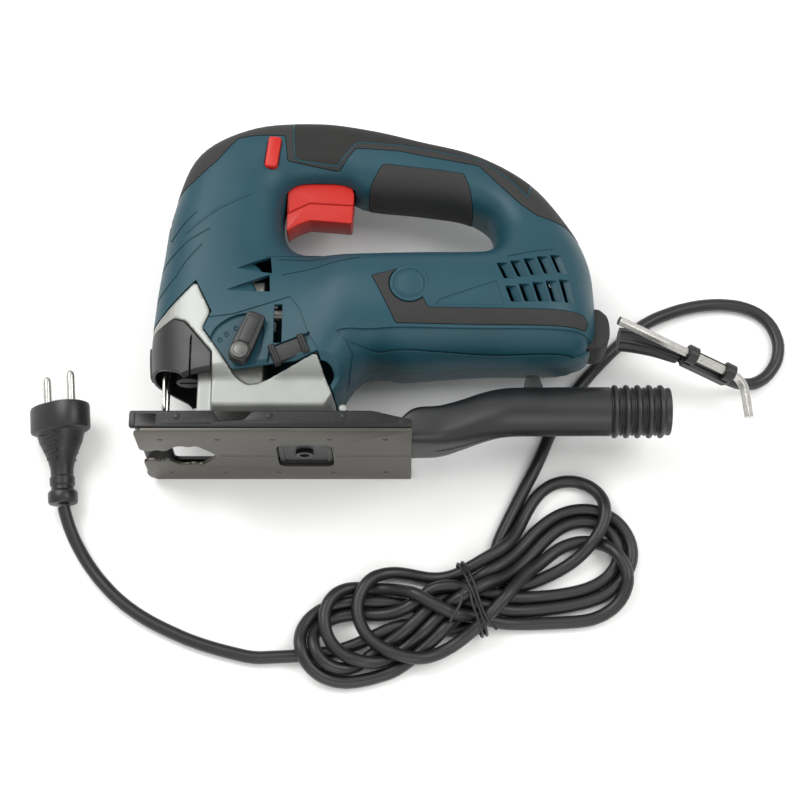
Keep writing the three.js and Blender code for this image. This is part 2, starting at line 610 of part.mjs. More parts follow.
// ---- dust tube: a flat duct behind the base that turns into a round ribbed end --------
const tubeStations = [  // x, centre y, half height, half width, squareness
  [-23, 7.3, 4.6, 16, 6], [-6, 7.5, 4.8, 16.5, 6], [7, 13.2, 10.4, 17.5, 5],
  [22, 14.6, 11.6, 17.5, 4], [34, 18.2, 12.6, 16, 3], [46, 22.6, 13.4, 14.6, 2.4],
  [60, 25.8, tubeRadius, tubeRadius, 2], [112, 26.4, tubeRadius, tubeRadius, 2],
];
const tubeY = 26.4;
const roundStation = (x, radius) => [x, tubeY, radius, radius, 2];
const ductBore = tubeStations.map(([x, ...form], i) => (i ? [x, ...form] : [x - 1, ...form]));
ductBore.push(roundStation(tubeRear + 1, tubeRadius));
const ribStep = 6.4;
const ribRadius = tubeRadius + 1.3;
const grooveRadius = tubeRadius - 0.8;
for (let x = 118; x < tubeRear - ribStep; x += ribStep) {
  tubeStations.push(roundStation(x, grooveRadius), roundStation(x + 1.2, ribRadius),
    roundStation(x + 3.4, ribRadius), roundStation(x + 4.6, grooveRadius));
}
tubeStations.push(roundStation(tubeRear, tubeRadius - 0.2));
const tubeLoft = (stations, inset) => {
  const rings = stations.map(([x, y, high, wide, power]) => superellipse(16, power)
    .map(([c, s]) => new THREE.Vector3(x, y + c * (high - inset), s * (wide - inset))));
  return solid(loft(rings, false));
};
const fin = prism([[69, 38.5], [71.5, 47.5], [78, 47.5], [81, 38.5]], -2.5, 2.5);
piece('dust_tube', tubeLoft(tubeStations, 0).add(fin).subtract(tubeLoft(ductBore, tubeWall)), blackPlastic);

// ---- mains lead: boot, cord, hank and plug, in the table's frame ----------------------
const V = (x, y, z) => new THREE.Vector3(x, y, z);
const smooth = (points) => new THREE.CatmullRomCurve3(points, false, 'centripetal');
const cordRadius = cordDiameter / 2;

function taper(points, radii, sides, steps) {  // a round form along a path
  const path = smooth(points);
  const rings = Array.from({ length: steps + 1 }, (_, i) => {
    const t = i / steps;
    const along = path.getTangent(t);
    const across = V(0, 0, 1).cross(along).normalize();
    const up = along.clone().cross(across);
    const place = t * (radii.length - 1);
    const k = Math.min(Math.floor(place), radii.length - 2);
    const radius = radii[k] + (radii[k + 1] - radii[k]) * (place - k);
    return superellipse(sides, 2).map(([c, s]) => path.getPoint(t)
      .addScaledVector(across, c * radius).addScaledVector(up, s * radius));
  });
  return solid(loft(rings, false));
}
const glandFace = behind(118.4) - middleX + 0.6;
const bootPoints = [V(glandFace, -32.4, 40), V(128, -33, 39.4), V(142, -35.2, 35.8), V(156, -38.6, 31.4)];
const bootRadii = [6.6, 6, 5.2, 4.6];
const boot = (more) => taper(bootPoints, bootRadii.map((radius) => radius + more), 16, 10);
piece('cord_boot', boot(0), rubber, jigsaw);
const leadPoints = [
  [156.8, -38.8, 31.1], [166, -41.6, 27.4], [176, -44.8, 22.6], [186, -47, 16.4], [195, -47.4, 10],
  [204, -45.6, 5.2], [212.5, -40, 3.7], [218.6, -31, 3.7], [220.6, -20, 3.7], [217.4, -8.6, 3.7],
  [209.6, 0, 3.7], [198, 4.6, 3.7], [184, 5.6, 3.7], [169, 3.6, 3.7], [154, -1.4, 3.7],
  [140.3, -8.6, 3.7], [125.6, -21.4, 3.7], [110.1, -37.6, 3.7], [95, -57.3, 3.7], [83.4, -78, 3.7],
  [76.4, -96, 3.7], [70.9, -112.6, 3.7],
].map(([x, y, z]) => V(x, y, z));
const lead = (more) => solid(swept(smooth(leadPoints), cordRadius + more, 8, 44));
piece('cord_lead', lead(0), rubber, jigsaw);

const hankEnds = [[-44.5, -199.5, 27.5], [93, -150.5, 41]];
const hankHeight = 22.6;
const hankShape = new THREE.Shape();
{
  const [[x0, y0, r0], [x1, y1, r1]] = hankEnds;
  const lean = Math.atan2(y1 - y0, x1 - x0);
  const spread = Math.acos((r0 - r1) / Math.hypot(x1 - x0, y1 - y0));
  hankShape.absarc(x1, y1, r1, lean - spread, lean + spread);
  hankShape.absarc(x0, y0, r0, lean + spread, lean - spread + 2 * Math.PI);
}
piece('cord_hank', solid(new THREE.ExtrudeGeometry(hankShape,
  { depth: hankHeight, bevelEnabled: false, curveSegments: 10 })), rubber, jigsaw);
const tailPoints = [
  [-72.6, -209.6, 3.7], [-84, -208, 3.7], [-97, -205.2, 3.7], [-116, -199.6, 3.7], [-137, -190.4, 3.7],
  [-155, -179.4, 3.7], [-169.6, -166, 3.7], [-180.6, -151.6, 4], [-188, -138.6, 6], [-192.4, -127, 8.8],
  [-193.6, -122.5, 9.8],
].map(([x, y, z]) => V(x, y, z));
piece('cord_tail', solid(swept(smooth(tailPoints), cordRadius, 8, 16)), rubber, jigsaw);

const plug = new THREE.Group();
const plugEnd = V(-193.9, -121.4, 10.2);
const plugFaceAt = V(-198.4, -64.4, 17.9);
plug.position.copy(plugEnd);
plug.quaternion.setFromUnitVectors(V(0, 1, 0), plugFaceAt.clone().sub(plugEnd).normalize());
plug.rotateY(THREE.MathUtils.degToRad(-36));
jigsaw.add(plug);
const plugLength = plugFaceAt.distanceTo(plugEnd);
const plugStations = [  // y, half width, half depth, squareness
  [0, 7.6, 7.6, 2], [1, 8.4, 8.4, 2], [7, 8.4, 8.4, 2], [8.6, 6.4, 6.4, 2], [10.5, 6.4, 6.4, 2],
  [11.4, 7.2, 7.2, 2], [15.4, 7.2, 7.2, 2], [16.6, 6.2, 6.2, 2], [26, 7.6, 7.4, 2.4],
  [34, 11.5, 9.6, 2.6], [41, 13.5, 11, 2.6], [42.6, 17.6, 12.6, 2.4], [44, 18.6, 13.1, 2.4],
  [plugLength - 1, 18.6, 13.1, 2.4], [plugLength, 17.8, 12.4, 2.4],
];
const plugRings = plugStations.map(([y, a, b, power]) => superellipse(16, power)
  .map(([c, s]) => V(c * a, y, s * b)));
piece('plug_body', solid(loft(plugRings, false)), rubber, plug);
['left', 'right'].forEach((name, i) => {
  const pin = new THREE.CapsuleGeometry(pinDiameter / 2, pinLength - pinDiameter, 4, 12);
  pin.translate((i - 0.5) * pinSpacing, plugLength + gap + pinLength / 2, 0);
  piece(`plug_pin_${name}`, solid(pin), steel, plug);
});

// ---- hex key in its holder on the lead ------------------------------------------------
const keyAcross = 5;
const keyHex = (more) => new THREE.Shape(Array.from({ length: 6 }, (_, k) => {
  const angle = (k * Math.PI) / 3;
  const corner = (keyAcross / 2 + more) / Math.cos(Math.PI / 6);
  return new THREE.Vector2(Math.cos(angle), Math.sin(angle)).multiplyScalar(corner);
}));
const keyStart = V(120.3, -27.5, 56);
const keyCorner = V(193.8, -51.3, 26);
const keyEnd = V(195.8, -74, 25);
const keyBend = 9;
const beforeBend = keyCorner.clone().lerp(keyStart, keyBend / keyCorner.distanceTo(keyStart));
const afterBend = keyCorner.clone().lerp(keyEnd, keyBend / keyCorner.distanceTo(keyEnd));
const acrossBend = beforeBend.clone().lerp(afterBend, 0.5);
const keyPath = smooth([keyStart, keyStart.clone().lerp(beforeBend, 0.5), beforeBend,
  keyCorner.clone().lerp(acrossBend, 0.4), afterBend, keyEnd]);
const keyBar = (more) => solid(new THREE.ExtrudeGeometry(keyHex(more),
  { extrudePath: keyPath, steps: 24, bevelEnabled: false }));
piece('hex_key', keyBar(0), steel, jigsaw);
const keyLine = keyCorner.clone().sub(keyStart).normalize();
const holderSpan = [0.55, 0.92];
const alongKey = (geometry, share, drop) => {
  const turn = new THREE.Quaternion().setFromUnitVectors(V(1, 0, 0), keyLine);
  const at = keyStart.clone().lerp(keyCorner, share);
  return solid(geometry.applyQuaternion(turn).translate(at.x, at.y, at.z - drop));
};
const keyLength = keyStart.distanceTo(keyCorner);
const holderLength = (holderSpan[1] - holderSpan[0]) * keyLength;
const holderBody = alongKey(new THREE.BoxGeometry(holderLength, 10, 9),
  (holderSpan[0] + holderSpan[1]) / 2, 5.5);
const clips = [0.58, 0.89].map((share) => alongKey(new THREE.CylinderGeometry(5.4, 5.4, 6, 16)
  .rotateZ(Math.PI / 2), share, 0));
const bootSeat = 0.6;
const holderForm = [...clips, holderBody].reduce((a, b) => a.add(b));
const holderSeats = [keyBar(gap), lead(gap), boot(bootSeat)];
piece('key_holder', holderSeats.reduce((a, b) => a.subtract(b), holderForm), rubber, jigsaw);

export default jigsaw;
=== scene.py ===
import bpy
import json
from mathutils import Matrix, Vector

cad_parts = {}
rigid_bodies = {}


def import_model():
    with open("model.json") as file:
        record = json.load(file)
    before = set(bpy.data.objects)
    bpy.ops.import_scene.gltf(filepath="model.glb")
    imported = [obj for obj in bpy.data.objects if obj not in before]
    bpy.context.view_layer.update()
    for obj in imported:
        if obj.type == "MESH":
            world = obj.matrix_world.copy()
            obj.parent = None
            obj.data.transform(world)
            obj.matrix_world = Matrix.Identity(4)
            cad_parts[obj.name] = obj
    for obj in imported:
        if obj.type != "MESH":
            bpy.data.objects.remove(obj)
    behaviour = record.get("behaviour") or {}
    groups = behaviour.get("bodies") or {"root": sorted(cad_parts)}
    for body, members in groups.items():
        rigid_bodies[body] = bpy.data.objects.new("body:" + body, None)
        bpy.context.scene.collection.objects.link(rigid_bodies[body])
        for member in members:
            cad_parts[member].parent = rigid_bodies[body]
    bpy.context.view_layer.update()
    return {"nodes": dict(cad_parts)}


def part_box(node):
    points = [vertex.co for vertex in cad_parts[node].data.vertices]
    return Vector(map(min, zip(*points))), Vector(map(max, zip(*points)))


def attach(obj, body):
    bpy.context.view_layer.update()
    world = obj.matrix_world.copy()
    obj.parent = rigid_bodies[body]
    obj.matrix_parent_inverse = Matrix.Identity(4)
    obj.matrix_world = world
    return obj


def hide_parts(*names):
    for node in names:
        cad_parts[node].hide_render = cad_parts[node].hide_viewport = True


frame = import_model()

import json
import math

import bpy
from mathutils import Matrix, Vector

# ---- table, light and camera -------------------------------------------------------------
# A plain pale table top that runs on behind the tool, lit softly by two wide panels of light
# and seen from above, a little from the side of the sole.


class Shade:
    """One socket of a material, so that shader maths reads as plain expressions."""

    def __init__(self, tree, socket=None):
        self.tree = tree
        self.socket = socket

    def node(self, kind, settings=None, outlet=0, inlets=None):
        made = self.tree.nodes.new("ShaderNode" + kind)
        for name, value in (settings or {}).items():
            setattr(made, name, value)
        for name, value in (inlets or {}).items():
            if isinstance(value, Shade):
                self.tree.links.new(value.socket, made.inputs[name])
            else:
                made.inputs[name].default_value = value
        return Shade(self.tree, made.outputs[outlet])

    def maths(self, operation, *values):
        return self.node("Math", {"operation": operation}, inlets=dict(enumerate(values)))

    def __add__(self, other):
        return self.maths("ADD", self, other)

    def __sub__(self, other):
        return self.maths("SUBTRACT", self, other)

    def __rsub__(self, other):
        return self.maths("SUBTRACT", other, self)

    def __mul__(self, other):
        return self.maths("MULTIPLY", self, other)

    def __gt__(self, other):
        return self.maths("GREATER_THAN", self, other)

    def __lt__(self, other):
        return self.maths("LESS_THAN", self, other)

    __radd__ = __add__
    __rmul__ = __mul__

    def between(self, low, high):
        """low where this is 0 and high where it is 1, for colours."""
        return self.node("Mix", {"data_type": "RGBA"}, 2, {0: self, 6: low, 7: high})

    def grain(self, scale, detail=2.0):
        """Noise over this place, in specks of about one over scale."""
        return self.node("TexNoise", outlet=0, inlets={"Vector": self, "Scale": scale, "Detail": detail})

    def relief(self, height, depth, rounding=None):
        """A bumped normal, depth metres high, over edges rounded in shading if asked."""
        inlets = {"Height": height, "Distance": depth, "Strength": 1.0}
        if rounding:
            inlets["Normal"] = self.node("Bevel", {"samples": 4}, 0, {"Radius": rounding})
        return self.node("Bump", inlets=inlets)


def colour(code):
    """A linear colour from six hex digits."""
    parts = [int(code[i:i + 2], 16) / 255 for i in (0, 2, 4)]
    return tuple(c / 12.92 if c <= 0.04045 else ((c + 0.055) / 1.055) ** 2.4 for c in parts) + (1.0,)


def finish(name, varying, **fixed):
    """A material: varying(place) gives what changes over it, and fixed is set on the shader."""
    material = bpy.data.materials.new(name)
    material.use_nodes = True
    tree = material.node_tree
    shader = tree.nodes["Principled BSDF"]
    for socket, value in fixed.items():
        shader.inputs[socket.replace("_", " ")].default_value = value
    place = Shade(tree).node("TexCoord", outlet="Object")
    for socket, value in varying(place).items():
        tree.links.new(value.socket, shader.inputs[socket])
    return material


def piece(name, points, faces, material, origin=Vector()):
    """A mesh from points in millimetres about an origin in metres, in the object's frame."""
    mesh = bpy.data.meshes.new(name)
    mesh.from_pydata([origin + Vector(p) * 0.001 for p in points], [], faces)
    mesh.materials.append(material)
    made = bpy.data.objects.new(name, mesh)
    bpy.context.scene.collection.objects.link(made)
    return made


def table_paint(place):
    cloud = place.grain(6.0)
    return {
        "Base Color": cloud.between(colour("f4f3f1"), colour("fbfbfa")),
        "Roughness": cloud * 0.2 + 0.6,
    }


table_half = 1600
table_top = piece(
    "table_top",
    [(-table_half, -table_half, 0), (table_half, -table_half, 0), (table_half, table_half, 0),
     (-table_half, table_half, 0)],
    [(0, 1, 2, 3)], finish("table_white", table_paint))

room = bpy.data.worlds.new("studio")
room.use_nodes = True
room.node_tree.nodes["Background"].inputs["Color"].default_value = (1.0, 1.0, 1.0, 1.0)
room.node_tree.nodes["Background"].inputs["Strength"].default_value = 0.75
bpy.context.scene.world = room
bpy.context.scene.view_settings.view_transform = "Standard"

for lamp_name, stands, watts, width in (
        ("softbox_left", (-0.75, 0.55, 1.25), 14.5, 0.9),
        ("softbox_right", (0.9, 0.1, 1.3), 9.0, 0.8),
        ("softbox_low", (0.1, -1.2, 0.8), 5.0, 0.9)):
    lamp = bpy.data.objects.new(lamp_name, bpy.data.lights.new(lamp_name, "AREA"))
    lamp.data.energy = watts
    lamp.data.size = width
    lamp.location = stands
    lamp.rotation_euler = (Vector(stands) - Vector((0, -0.05, 0))).to_track_quat("Z", "Y").to_euler()
    bpy.context.scene.collection.objects.link(lamp)

camera = bpy.data.objects.new("camera", bpy.data.cameras.new("camera"))
camera.location = (-0.00285, -0.4362, 0.9833)
camera.rotation_euler = (math.radians(21.25), 0, 0)
camera.data.lens = 81
camera.data.sensor_width = 36
bpy.context.scene.collection.objects.link(camera)
bpy.context.scene.camera = camera

# ---- mains lead --------------------------------------------------------------------------
# One length of black two-core rubber cable, 7.2 mm thick. It leaves the rear of the tool,
# turns back under it, is tied in a figure-of-eight hank and ends in its plug.
cord_thick = 0.0072


def cable_rubber(place):
    speck = place.grain(900.0)
    dust = place.grain(35.0, 4.0)
    return {
        "Base Color": dust.between(colour("101011"), colour("1d1d1e")),
        "Roughness": dust * 0.25 + 0.3,
        "Normal": place.relief(speck, 0.00005),
    }


black_cable = finish("black_cable", cable_rubber)
route = [
    (121.5, -32.4, 40), (133.2, -33.7, 38.2), (144.6, -35.8, 35), (155.8, -38.5, 31.5),
    (166.5, -41.8, 27.2), (176.9, -45, 22.1), (186.9, -47.1, 15.8), (196.7, -47.3, 9), (207.1, -44.1, 4.4),
    (215.8, -36, 3.6), (220.3, -25, 3.7), (219.3, -13.2, 3.7), (213.2, -3, 3.7), (203, 3.2, 3.7),
    (191.3, 5.5, 3.7), (179.3, 5.3, 3.7), (167.5, 3.2, 3.7), (156.1, -0.5, 3.7), (145.2, -5.5, 3.7),
    (135.4, -12.4, 3.7), (126.5, -20.5, 3.7), (118, -28.9, 3.7), (109.9, -37.8, 3.7), (102.3, -47.1, 3.7),
    (95.3, -56.8, 3.7), (89.1, -67.1, 3.7), (83.5, -77.7, 3.7), (78.9, -88.8, 3.7), (73.9, -99.5, 3.7),
    (68.4, -109.9, 3.7), (63.1, -120.3, 3.7), (57.9, -130.8, 3.7), (53.1, -141.4, 3.7), (50.7, -148.9, 3.7),
    (48.4, -156.3, 3.7), (46.3, -163.7, 3.7), (42.6, -170.7, 3.7), (38.5, -177.3, 3.7), (33.9, -183.2, 4.6),
    (28.3, -187.5, 8.5), (22.7, -192.8, 11), (17.2, -198, 8.9), (11.5, -202.7, 6.4), (5.8, -207.1, 4.2),
    (-0.2, -211.8, 3.7), (-6.7, -215.9, 3.7), (-13.8, -218.4, 3.7), (-21.1, -220.4, 3.7),
    (-28.5, -221.7, 3.8), (-36, -221.8, 4.2), (-43.3, -220.2, 5.5), (-49.7, -216.8, 7.6),
    (-54.7, -211.4, 9.8), (-57.6, -204.2, 10.6), (-57.9, -196.8, 8.5), (-55.5, -189.9, 6.4),
    (-50.8, -184.2, 4.8), (-44.5, -180.1, 3.9), (-37.3, -177.8, 3.7), (-29.9, -176.6, 3.7),
    (-22.3, -176.5, 3.7), (-14.8, -176.7, 3.7), (-7.2, -177, 3.7), (0.3, -177.8, 3.7), (7.8, -179.8, 3.7),
    (15.2, -181.4, 3.7), (23, -181.2, 4.5), (29.5, -178.5, 7.9), (36.9, -178.9, 10.9), (44.6, -180.6, 11),
    (51.9, -181.6, 8.9), (59, -182.1, 6.4), (66.4, -181.8, 4.7), (74, -181.2, 3.9), (81.5, -180.3, 3.7),
    (89, -179.3, 3.7), (96.4, -177.9, 3.7), (103.7, -176, 3.7), (110.7, -173.2, 3.7), (117, -169, 3.7),
    (122.2, -163.7, 3.7), (126.1, -157.2, 3.7), (128.1, -149.9, 3.7), (127.6, -142.3, 3.7),
    (124.8, -135.3, 3.7), (120.1, -129.4, 3.7), (113.8, -125.3, 3.7), (106.6, -122.9, 3.7),
    (99.1, -122.6, 3.7), (91.7, -124.1, 3.7), (84.9, -127.2, 3.7), (78.7, -131.6, 3.7), (73.2, -136.6, 3.8),
    (68.1, -142.2, 4.2), (63.1, -147.7, 5.4), (58, -152.8, 7.5), (52.3, -157.4, 9.8), (45.7, -161.5, 10.7),
    (39.1, -164.9, 8.1), (32.6, -167.9, 5.5), (26, -171.8, 5.8), (19.7, -175.9, 8.3), (14.5, -180.6, 11),
    (9.1, -186, 10.9), (3.5, -191.3, 10.7), (-2, -195.9, 8.4), (-8, -199.7, 5.8), (-14.1, -203.6, 4.2),
    (-20.1, -208, 3.7), (-26.1, -212.4, 4.1), (-32.9, -214.9, 6.2), (-40.1, -214.4, 8.8),
    (-46.4, -210.4, 10.5), (-50.2, -203.5, 10.5), (-50.2, -196.3, 7.7), (-46.4, -190.2, 5),
    (-40.1, -186.2, 3.9), (-32.9, -184.3, 3.7), (-25.4, -184, 3.7), (-18.1, -184.2, 4.2),
    (-10.8, -184.1, 5.7), (-3.7, -183, 8.3), (2.9, -180.3, 10.8), (9.1, -175.7, 10.9), (15.4, -171.5, 12.4),
    (22.9, -169.9, 13.1), (30.7, -170.4, 12.6), (37.9, -171.6, 11.1), (45.2, -173.2, 10.6),
    (52.9, -174.5, 10.6), (60.2, -175, 7.9), (67.3, -174.5, 5.6), (74.7, -173.8, 4.2), (82.2, -173, 3.8),
    (89.6, -171.9, 3.7), (96.9, -170.4, 3.7), (104, -168.1, 3.7), (110.6, -164.6, 3.7),
    (116.1, -159.5, 3.7), (119.9, -152.9, 3.7), (120.6, -145.3, 3.7), (117.8, -138.2, 3.7),
    (112.4, -132.9, 3.7), (105.4, -130.2, 3.7), (97.8, -130.1, 3.7), (90.7, -132.4, 3.7),
    (84.3, -136.4, 3.7), (78.8, -141.4, 3.7), (73.7, -146.9, 3.7), (68.6, -152.3, 4.2), (63.3, -157.5, 5.6),
    (58, -162.1, 8.4), (52.6, -165.8, 12.1), (46.8, -168.6, 16), (40.3, -172.4, 18), (33.3, -175.9, 17.3),
    (26.9, -179.1, 14.8), (21.7, -183.8, 11.5), (16.3, -189.1, 10.9), (10.9, -194.3, 9.5),
    (5.5, -198.3, 6.4), (-0.2, -202.9, 4.5), (-6.3, -207.3, 4.4), (-12.6, -210.8, 6.8),
    (-19.5, -212.2, 9.9), (-27, -211.1, 11.3), (-33.9, -208.1, 11.2), (-39.5, -203.1, 11.3),
    (-43.2, -196.6, 11.6), (-44.6, -189.2, 12.1), (-43.7, -181.7, 11.4), (-40.1, -175.1, 10),
    (-34.5, -170.7, 7.4), (-27.6, -168.8, 4.8), (-20.1, -169, 3.7), (-12.7, -169.7, 5.6), (-6.1, -171, 8.8),
    (-0.2, -172.9, 13.1), (5.7, -175.5, 17.5), (12.3, -179.5, 18.3), (19.1, -183.3, 18.6),
    (26.2, -186.2, 17.5), (33.1, -186.9, 14.1), (40.1, -187.2, 11), (47.2, -188.3, 8.6), (54.1, -189.1, 6),
    (61.6, -189.2, 4.4), (69.1, -189.1, 3.8), (76.6, -188.8, 3.7), (84.1, -188.5, 3.7), (91.6, -188.1, 3.7),
    (99.1, -187.4, 3.7), (106.4, -185.7, 3.8), (113.2, -182.5, 4.4), (118.9, -177.8, 5.9),
    (122.8, -171.7, 8.2), (124.3, -164.6, 10.7), (122.8, -157.1, 11.1), (119.1, -150.6, 10.7),
    (114.2, -145.5, 7.6), (108, -142.4, 4.2), (100.5, -141.6, 3.7), (93, -143.1, 3.7), (86.3, -146.4, 3.8),
    (80.4, -150.9, 4.4), (74.9, -155.8, 6.1), (69.6, -160.4, 8.7), (64.8, -165.5, 11.4),
    (60.4, -170.9, 14.5), (56, -176.6, 16.9), (50.8, -182.2, 17.2), (45.6, -187.8, 17.3),
    (40.3, -193, 15.4), (34.8, -197.1, 12.2), (29, -201.1, 9.6), (22.6, -204.9, 8.5), (15.8, -208.1, 9),
    (8.6, -209.9, 10.4), (1, -209.4, 11.1), (-6.2, -207.5, 11.7), (-12.9, -204.2, 11.4),
    (-18.9, -199.6, 11), (-23.4, -193.6, 10.8), (-26, -186.6, 10.7), (-26.3, -179.1, 10.9),
    (-24, -171.9, 11), (-19.6, -165.7, 10.3), (-13.6, -161.9, 7.6), (-6.5, -160.3, 5.4), (0.8, -160.6, 4.1),
    (8.1, -162, 3.8), (15.5, -163.2, 4.5), (22.8, -163.1, 6), (29.8, -161.4, 8.1), (36.4, -158.3, 10.1),
    (42.8, -154.7, 11.1), (49.2, -150.8, 11.1), (55.3, -146.4, 10), (60, -141.1, 7.5), (63.8, -135, 5.3),
    (67.1, -128.4, 4.1), (70.6, -121.8, 3.7), (74.7, -115.6, 3.7), (80, -110.3, 3.7), (86.6, -106.7, 3.7),
    (94.1, -105.5, 3.8), (101.5, -107, 4.4), (107.7, -110.9, 6), (111.8, -116.9, 8.4),
    (113.2, -123.9, 10.9), (112.2, -131.4, 11.5), (109.2, -138.3, 11.5), (104.9, -144.4, 10.5),
    (100, -149.4, 7.4), (94.4, -153.8, 5.2), (88.1, -157.7, 4), (81.4, -161.2, 3.7), (74.5, -164.2, 3.7),
    (67.4, -166.7, 3.7), (60.2, -168.9, 3.7), (53.1, -172, 3.7), (47.8, -177.6, 3.7), (43.1, -183.4, 3.7),
    (38.1, -189.2, 3.7), (27.2, -193, 3.7), (15.9, -191, 3.7), (4.8, -189.5, 3.7), (-6.6, -191.4, 3.7),
    (-17, -195.9, 3.7), (-27.3, -200.7, 3.7), (-38.1, -204.3, 3.7), (-49.5, -206.2, 3.7),
    (-60.7, -207.2, 3.7), (-72.3, -207.8, 3.7), (-83.8, -208, 3.7), (-95.5, -205.6, 3.7),
    (-107.1, -202.5, 3.7), (-118.5, -198.7, 3.7), (-129.5, -194, 3.7), (-140.3, -188.7, 3.7),
    (-150.6, -182.5, 3.7), (-160.1, -175.3, 3.7), (-168.7, -166.9, 3.7), (-176.4, -157.7, 3.7),
    (-183.1, -147.7, 4.4), (-188.6, -137.3, 6.3), (-192.6, -126.3, 9), (-193.6, -122.5, 9.8),
]
line = bpy.data.curves.new("mains_cord", "CURVE")
line.dimensions = "3D"
line.resolution_u = 3
line.bevel_depth = cord_thick / 2
line.bevel_resolution = 4
line.use_fill_caps = True
strand = line.splines.new("BEZIER")
strand.bezier_points.add(len(route) - 1)
for knot, at in zip(strand.bezier_points, route):
    knot.co = Vector(at) * 0.001
    knot.handle_left_type = knot.handle_right_type = "AUTO"
line.materials.append(black_cable)
mains_cord = bpy.data.objects.new("mains_cord", line)
bpy.context.scene.collection.objects.link(mains_cord)
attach(mains_cord, "housing")
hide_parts("cord_lead", "cord_hank", "cord_tail")

# ---- wire tie ----------------------------------------------------------------------------
# A plastic-coated wire wound twice round the nine strands and twisted shut, its two ends
# left sticking out.
tie_middle = Vector((36.6, -177.2, 11.0))
tie_along = Vector((math.cos(math.radians(20)), math.sin(math.radians(20)), 0))
tie_across = Vector((-tie_along.y, tie_along.x, 0))
tie_half = 21.6
tie_high = 14.2


def wire(name, points, radius, material, cyclic=False, smooth=3):
    """A round wire along points in millimetres, in the object's frame."""
    bent = bpy.data.curves.new(name, "CURVE")
    bent.dimensions = "3D"
    bent.resolution_u = smooth
    bent.bevel_depth = radius * 0.001
    bent.bevel_resolution = 3
    bent.use_fill_caps = True
    spline = bent.splines.new("BEZIER")
    spline.bezier_points.add(len(points) - 1)
    spline.use_cyclic_u = cyclic
    for knot, at in zip(spline.bezier_points, points):
        knot.co = Vector(at) * 0.001
        knot.handle_left_type = knot.handle_right_type = "AUTO"
    bent.materials.append(material)
    made = bpy.data.objects.new(name, bent)
    bpy.context.scene.collection.objects.link(made)
    return made


def around_bundle(turn):
    """A point of the tie, which winds round the bundle and lies on the table below it."""
    angle = 2 * math.pi * turn
    at = (tie_middle + tie_across * (math.cos(angle) * tie_half)
          + tie_along * (turn - 1) * 2.6)
    at.z = max(1.4, tie_middle.z + math.sin(angle) * tie_high)
    return at


tie_points = [around_bundle(0.22 + i / 14) for i in range(29)]
tie_knot = tie_points[-1]
tie_points += [tie_knot + Vector((2, -8, 1.2)), tie_knot + Vector((6, -17, -3)), tie_knot + Vector((12, -23, -9))]
tie_points.insert(0, tie_points[0] + Vector((-3, -9, 1.5)))
tie_points.insert(0, tie_points[0] + Vector((-6, -10, -2)))
wire_tie = wire("wire_tie", tie_points, 0.8, black_cable)
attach(wire_tie, "housing")

# ---- strain relief -----------------------------------------------------------------------
# A tapered rubber sleeve, 36 mm long, moulded on the lead where it leaves the tool, with
# fine ribs along it so that it bends without kinking.


def rings_along(path, radii, sides, flutes=0, flute_depth=0.0):
    """Rings of points square to a path, for a round form, fluted lengthwise if asked."""
    rings = []
    for i, (at, radius) in enumerate(zip(path, radii)):
        ahead = (path[min(i + 1, len(path) - 1)] - path[max(i - 1, 0)]).normalized()
        side = Vector((0, 0, 1)).cross(ahead).normalized()
        up = ahead.cross(side)
        ring = []
        for k in range(sides):
            angle = 2 * math.pi * k / sides
            reach = radius + flute_depth * math.cos(flutes * angle)
            ring.append(at + side * math.cos(angle) * reach + up * math.sin(angle) * reach)
        rings.append(ring)
    return rings


def skin(rings, closed=False):
    """Points and faces of a skin over rings of equal point counts, capped unless closed."""
    sides = len(rings[0])
    points = [p for ring in rings for p in ring]
    faces = []
    for i in range(len(rings) if closed else len(rings) - 1):
        near, far = i * sides, (i + 1) % len(rings) * sides
        for k in range(sides):
            turn = (k + 1) % sides
            faces.append((near + k, far + k, far + turn, near + turn))
    if not closed:
        faces.append(tuple(range(sides)))
        faces.append(tuple(range(len(points) - 1, len(points) - 1 - sides, -1)))
    return points, faces


def outward(made):
    """Turns a closed mesh right side out and shades its rounded faces smoothly."""
    mesh = made.data
    mesh.calc_loop_triangles()
    volume = sum(mesh.vertices[t.vertices[0]].co.dot(
        mesh.vertices[t.vertices[1]].co.cross(mesh.vertices[t.vertices[2]].co))
        for t in mesh.loop_triangles)
    if volume < 0:
        mesh.flip_normals()
    mesh.shade_smooth()
    mesh.set_sharp_from_angle(angle=math.radians(32))
    return made


def smooth_path(points, steps):
    """Points on a curve through the given ones."""
    knots = [Vector(p) for p in points]
    knots = [2 * knots[0] - knots[1], *knots, 2 * knots[-1] - knots[-2]]
    path = []
    for a, b, c, d in zip(knots, knots[1:], knots[2:], knots[3:]):
        for i in range(steps):
            t = i / steps
            path.append((b * 2 + (c - a) * t + (a * 2 - b * 5 + c * 4 - d) * t * t
                         + (b * 3 - a - c * 3 + d) * t ** 3) / 2)
    return path + [knots[-2]]


def ramp(values, count):
    """count numbers that run through values evenly."""
    spread = []
    for i in range(count):
        place = i / (count - 1) * (len(values) - 1)
        low = min(int(place), len(values) - 2)
        spread.append(values[low] + (values[low + 1] - values[low]) * (place - low))
    return spread


relief_path = smooth_path([(121.5, -32.4, 40), (128, -33, 39.4), (142, -35.2, 35.8), (156, -38.6, 31.4)], 12)
relief_rings = rings_along(relief_path, ramp([6.7, 6.3, 5.4, 4.6], len(relief_path)), 72, 12, 0.35)
strain_relief = outward(piece("strain_relief", *skin(relief_rings), black_cable))
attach(strain_relief, "housing")
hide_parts("cord_boot")

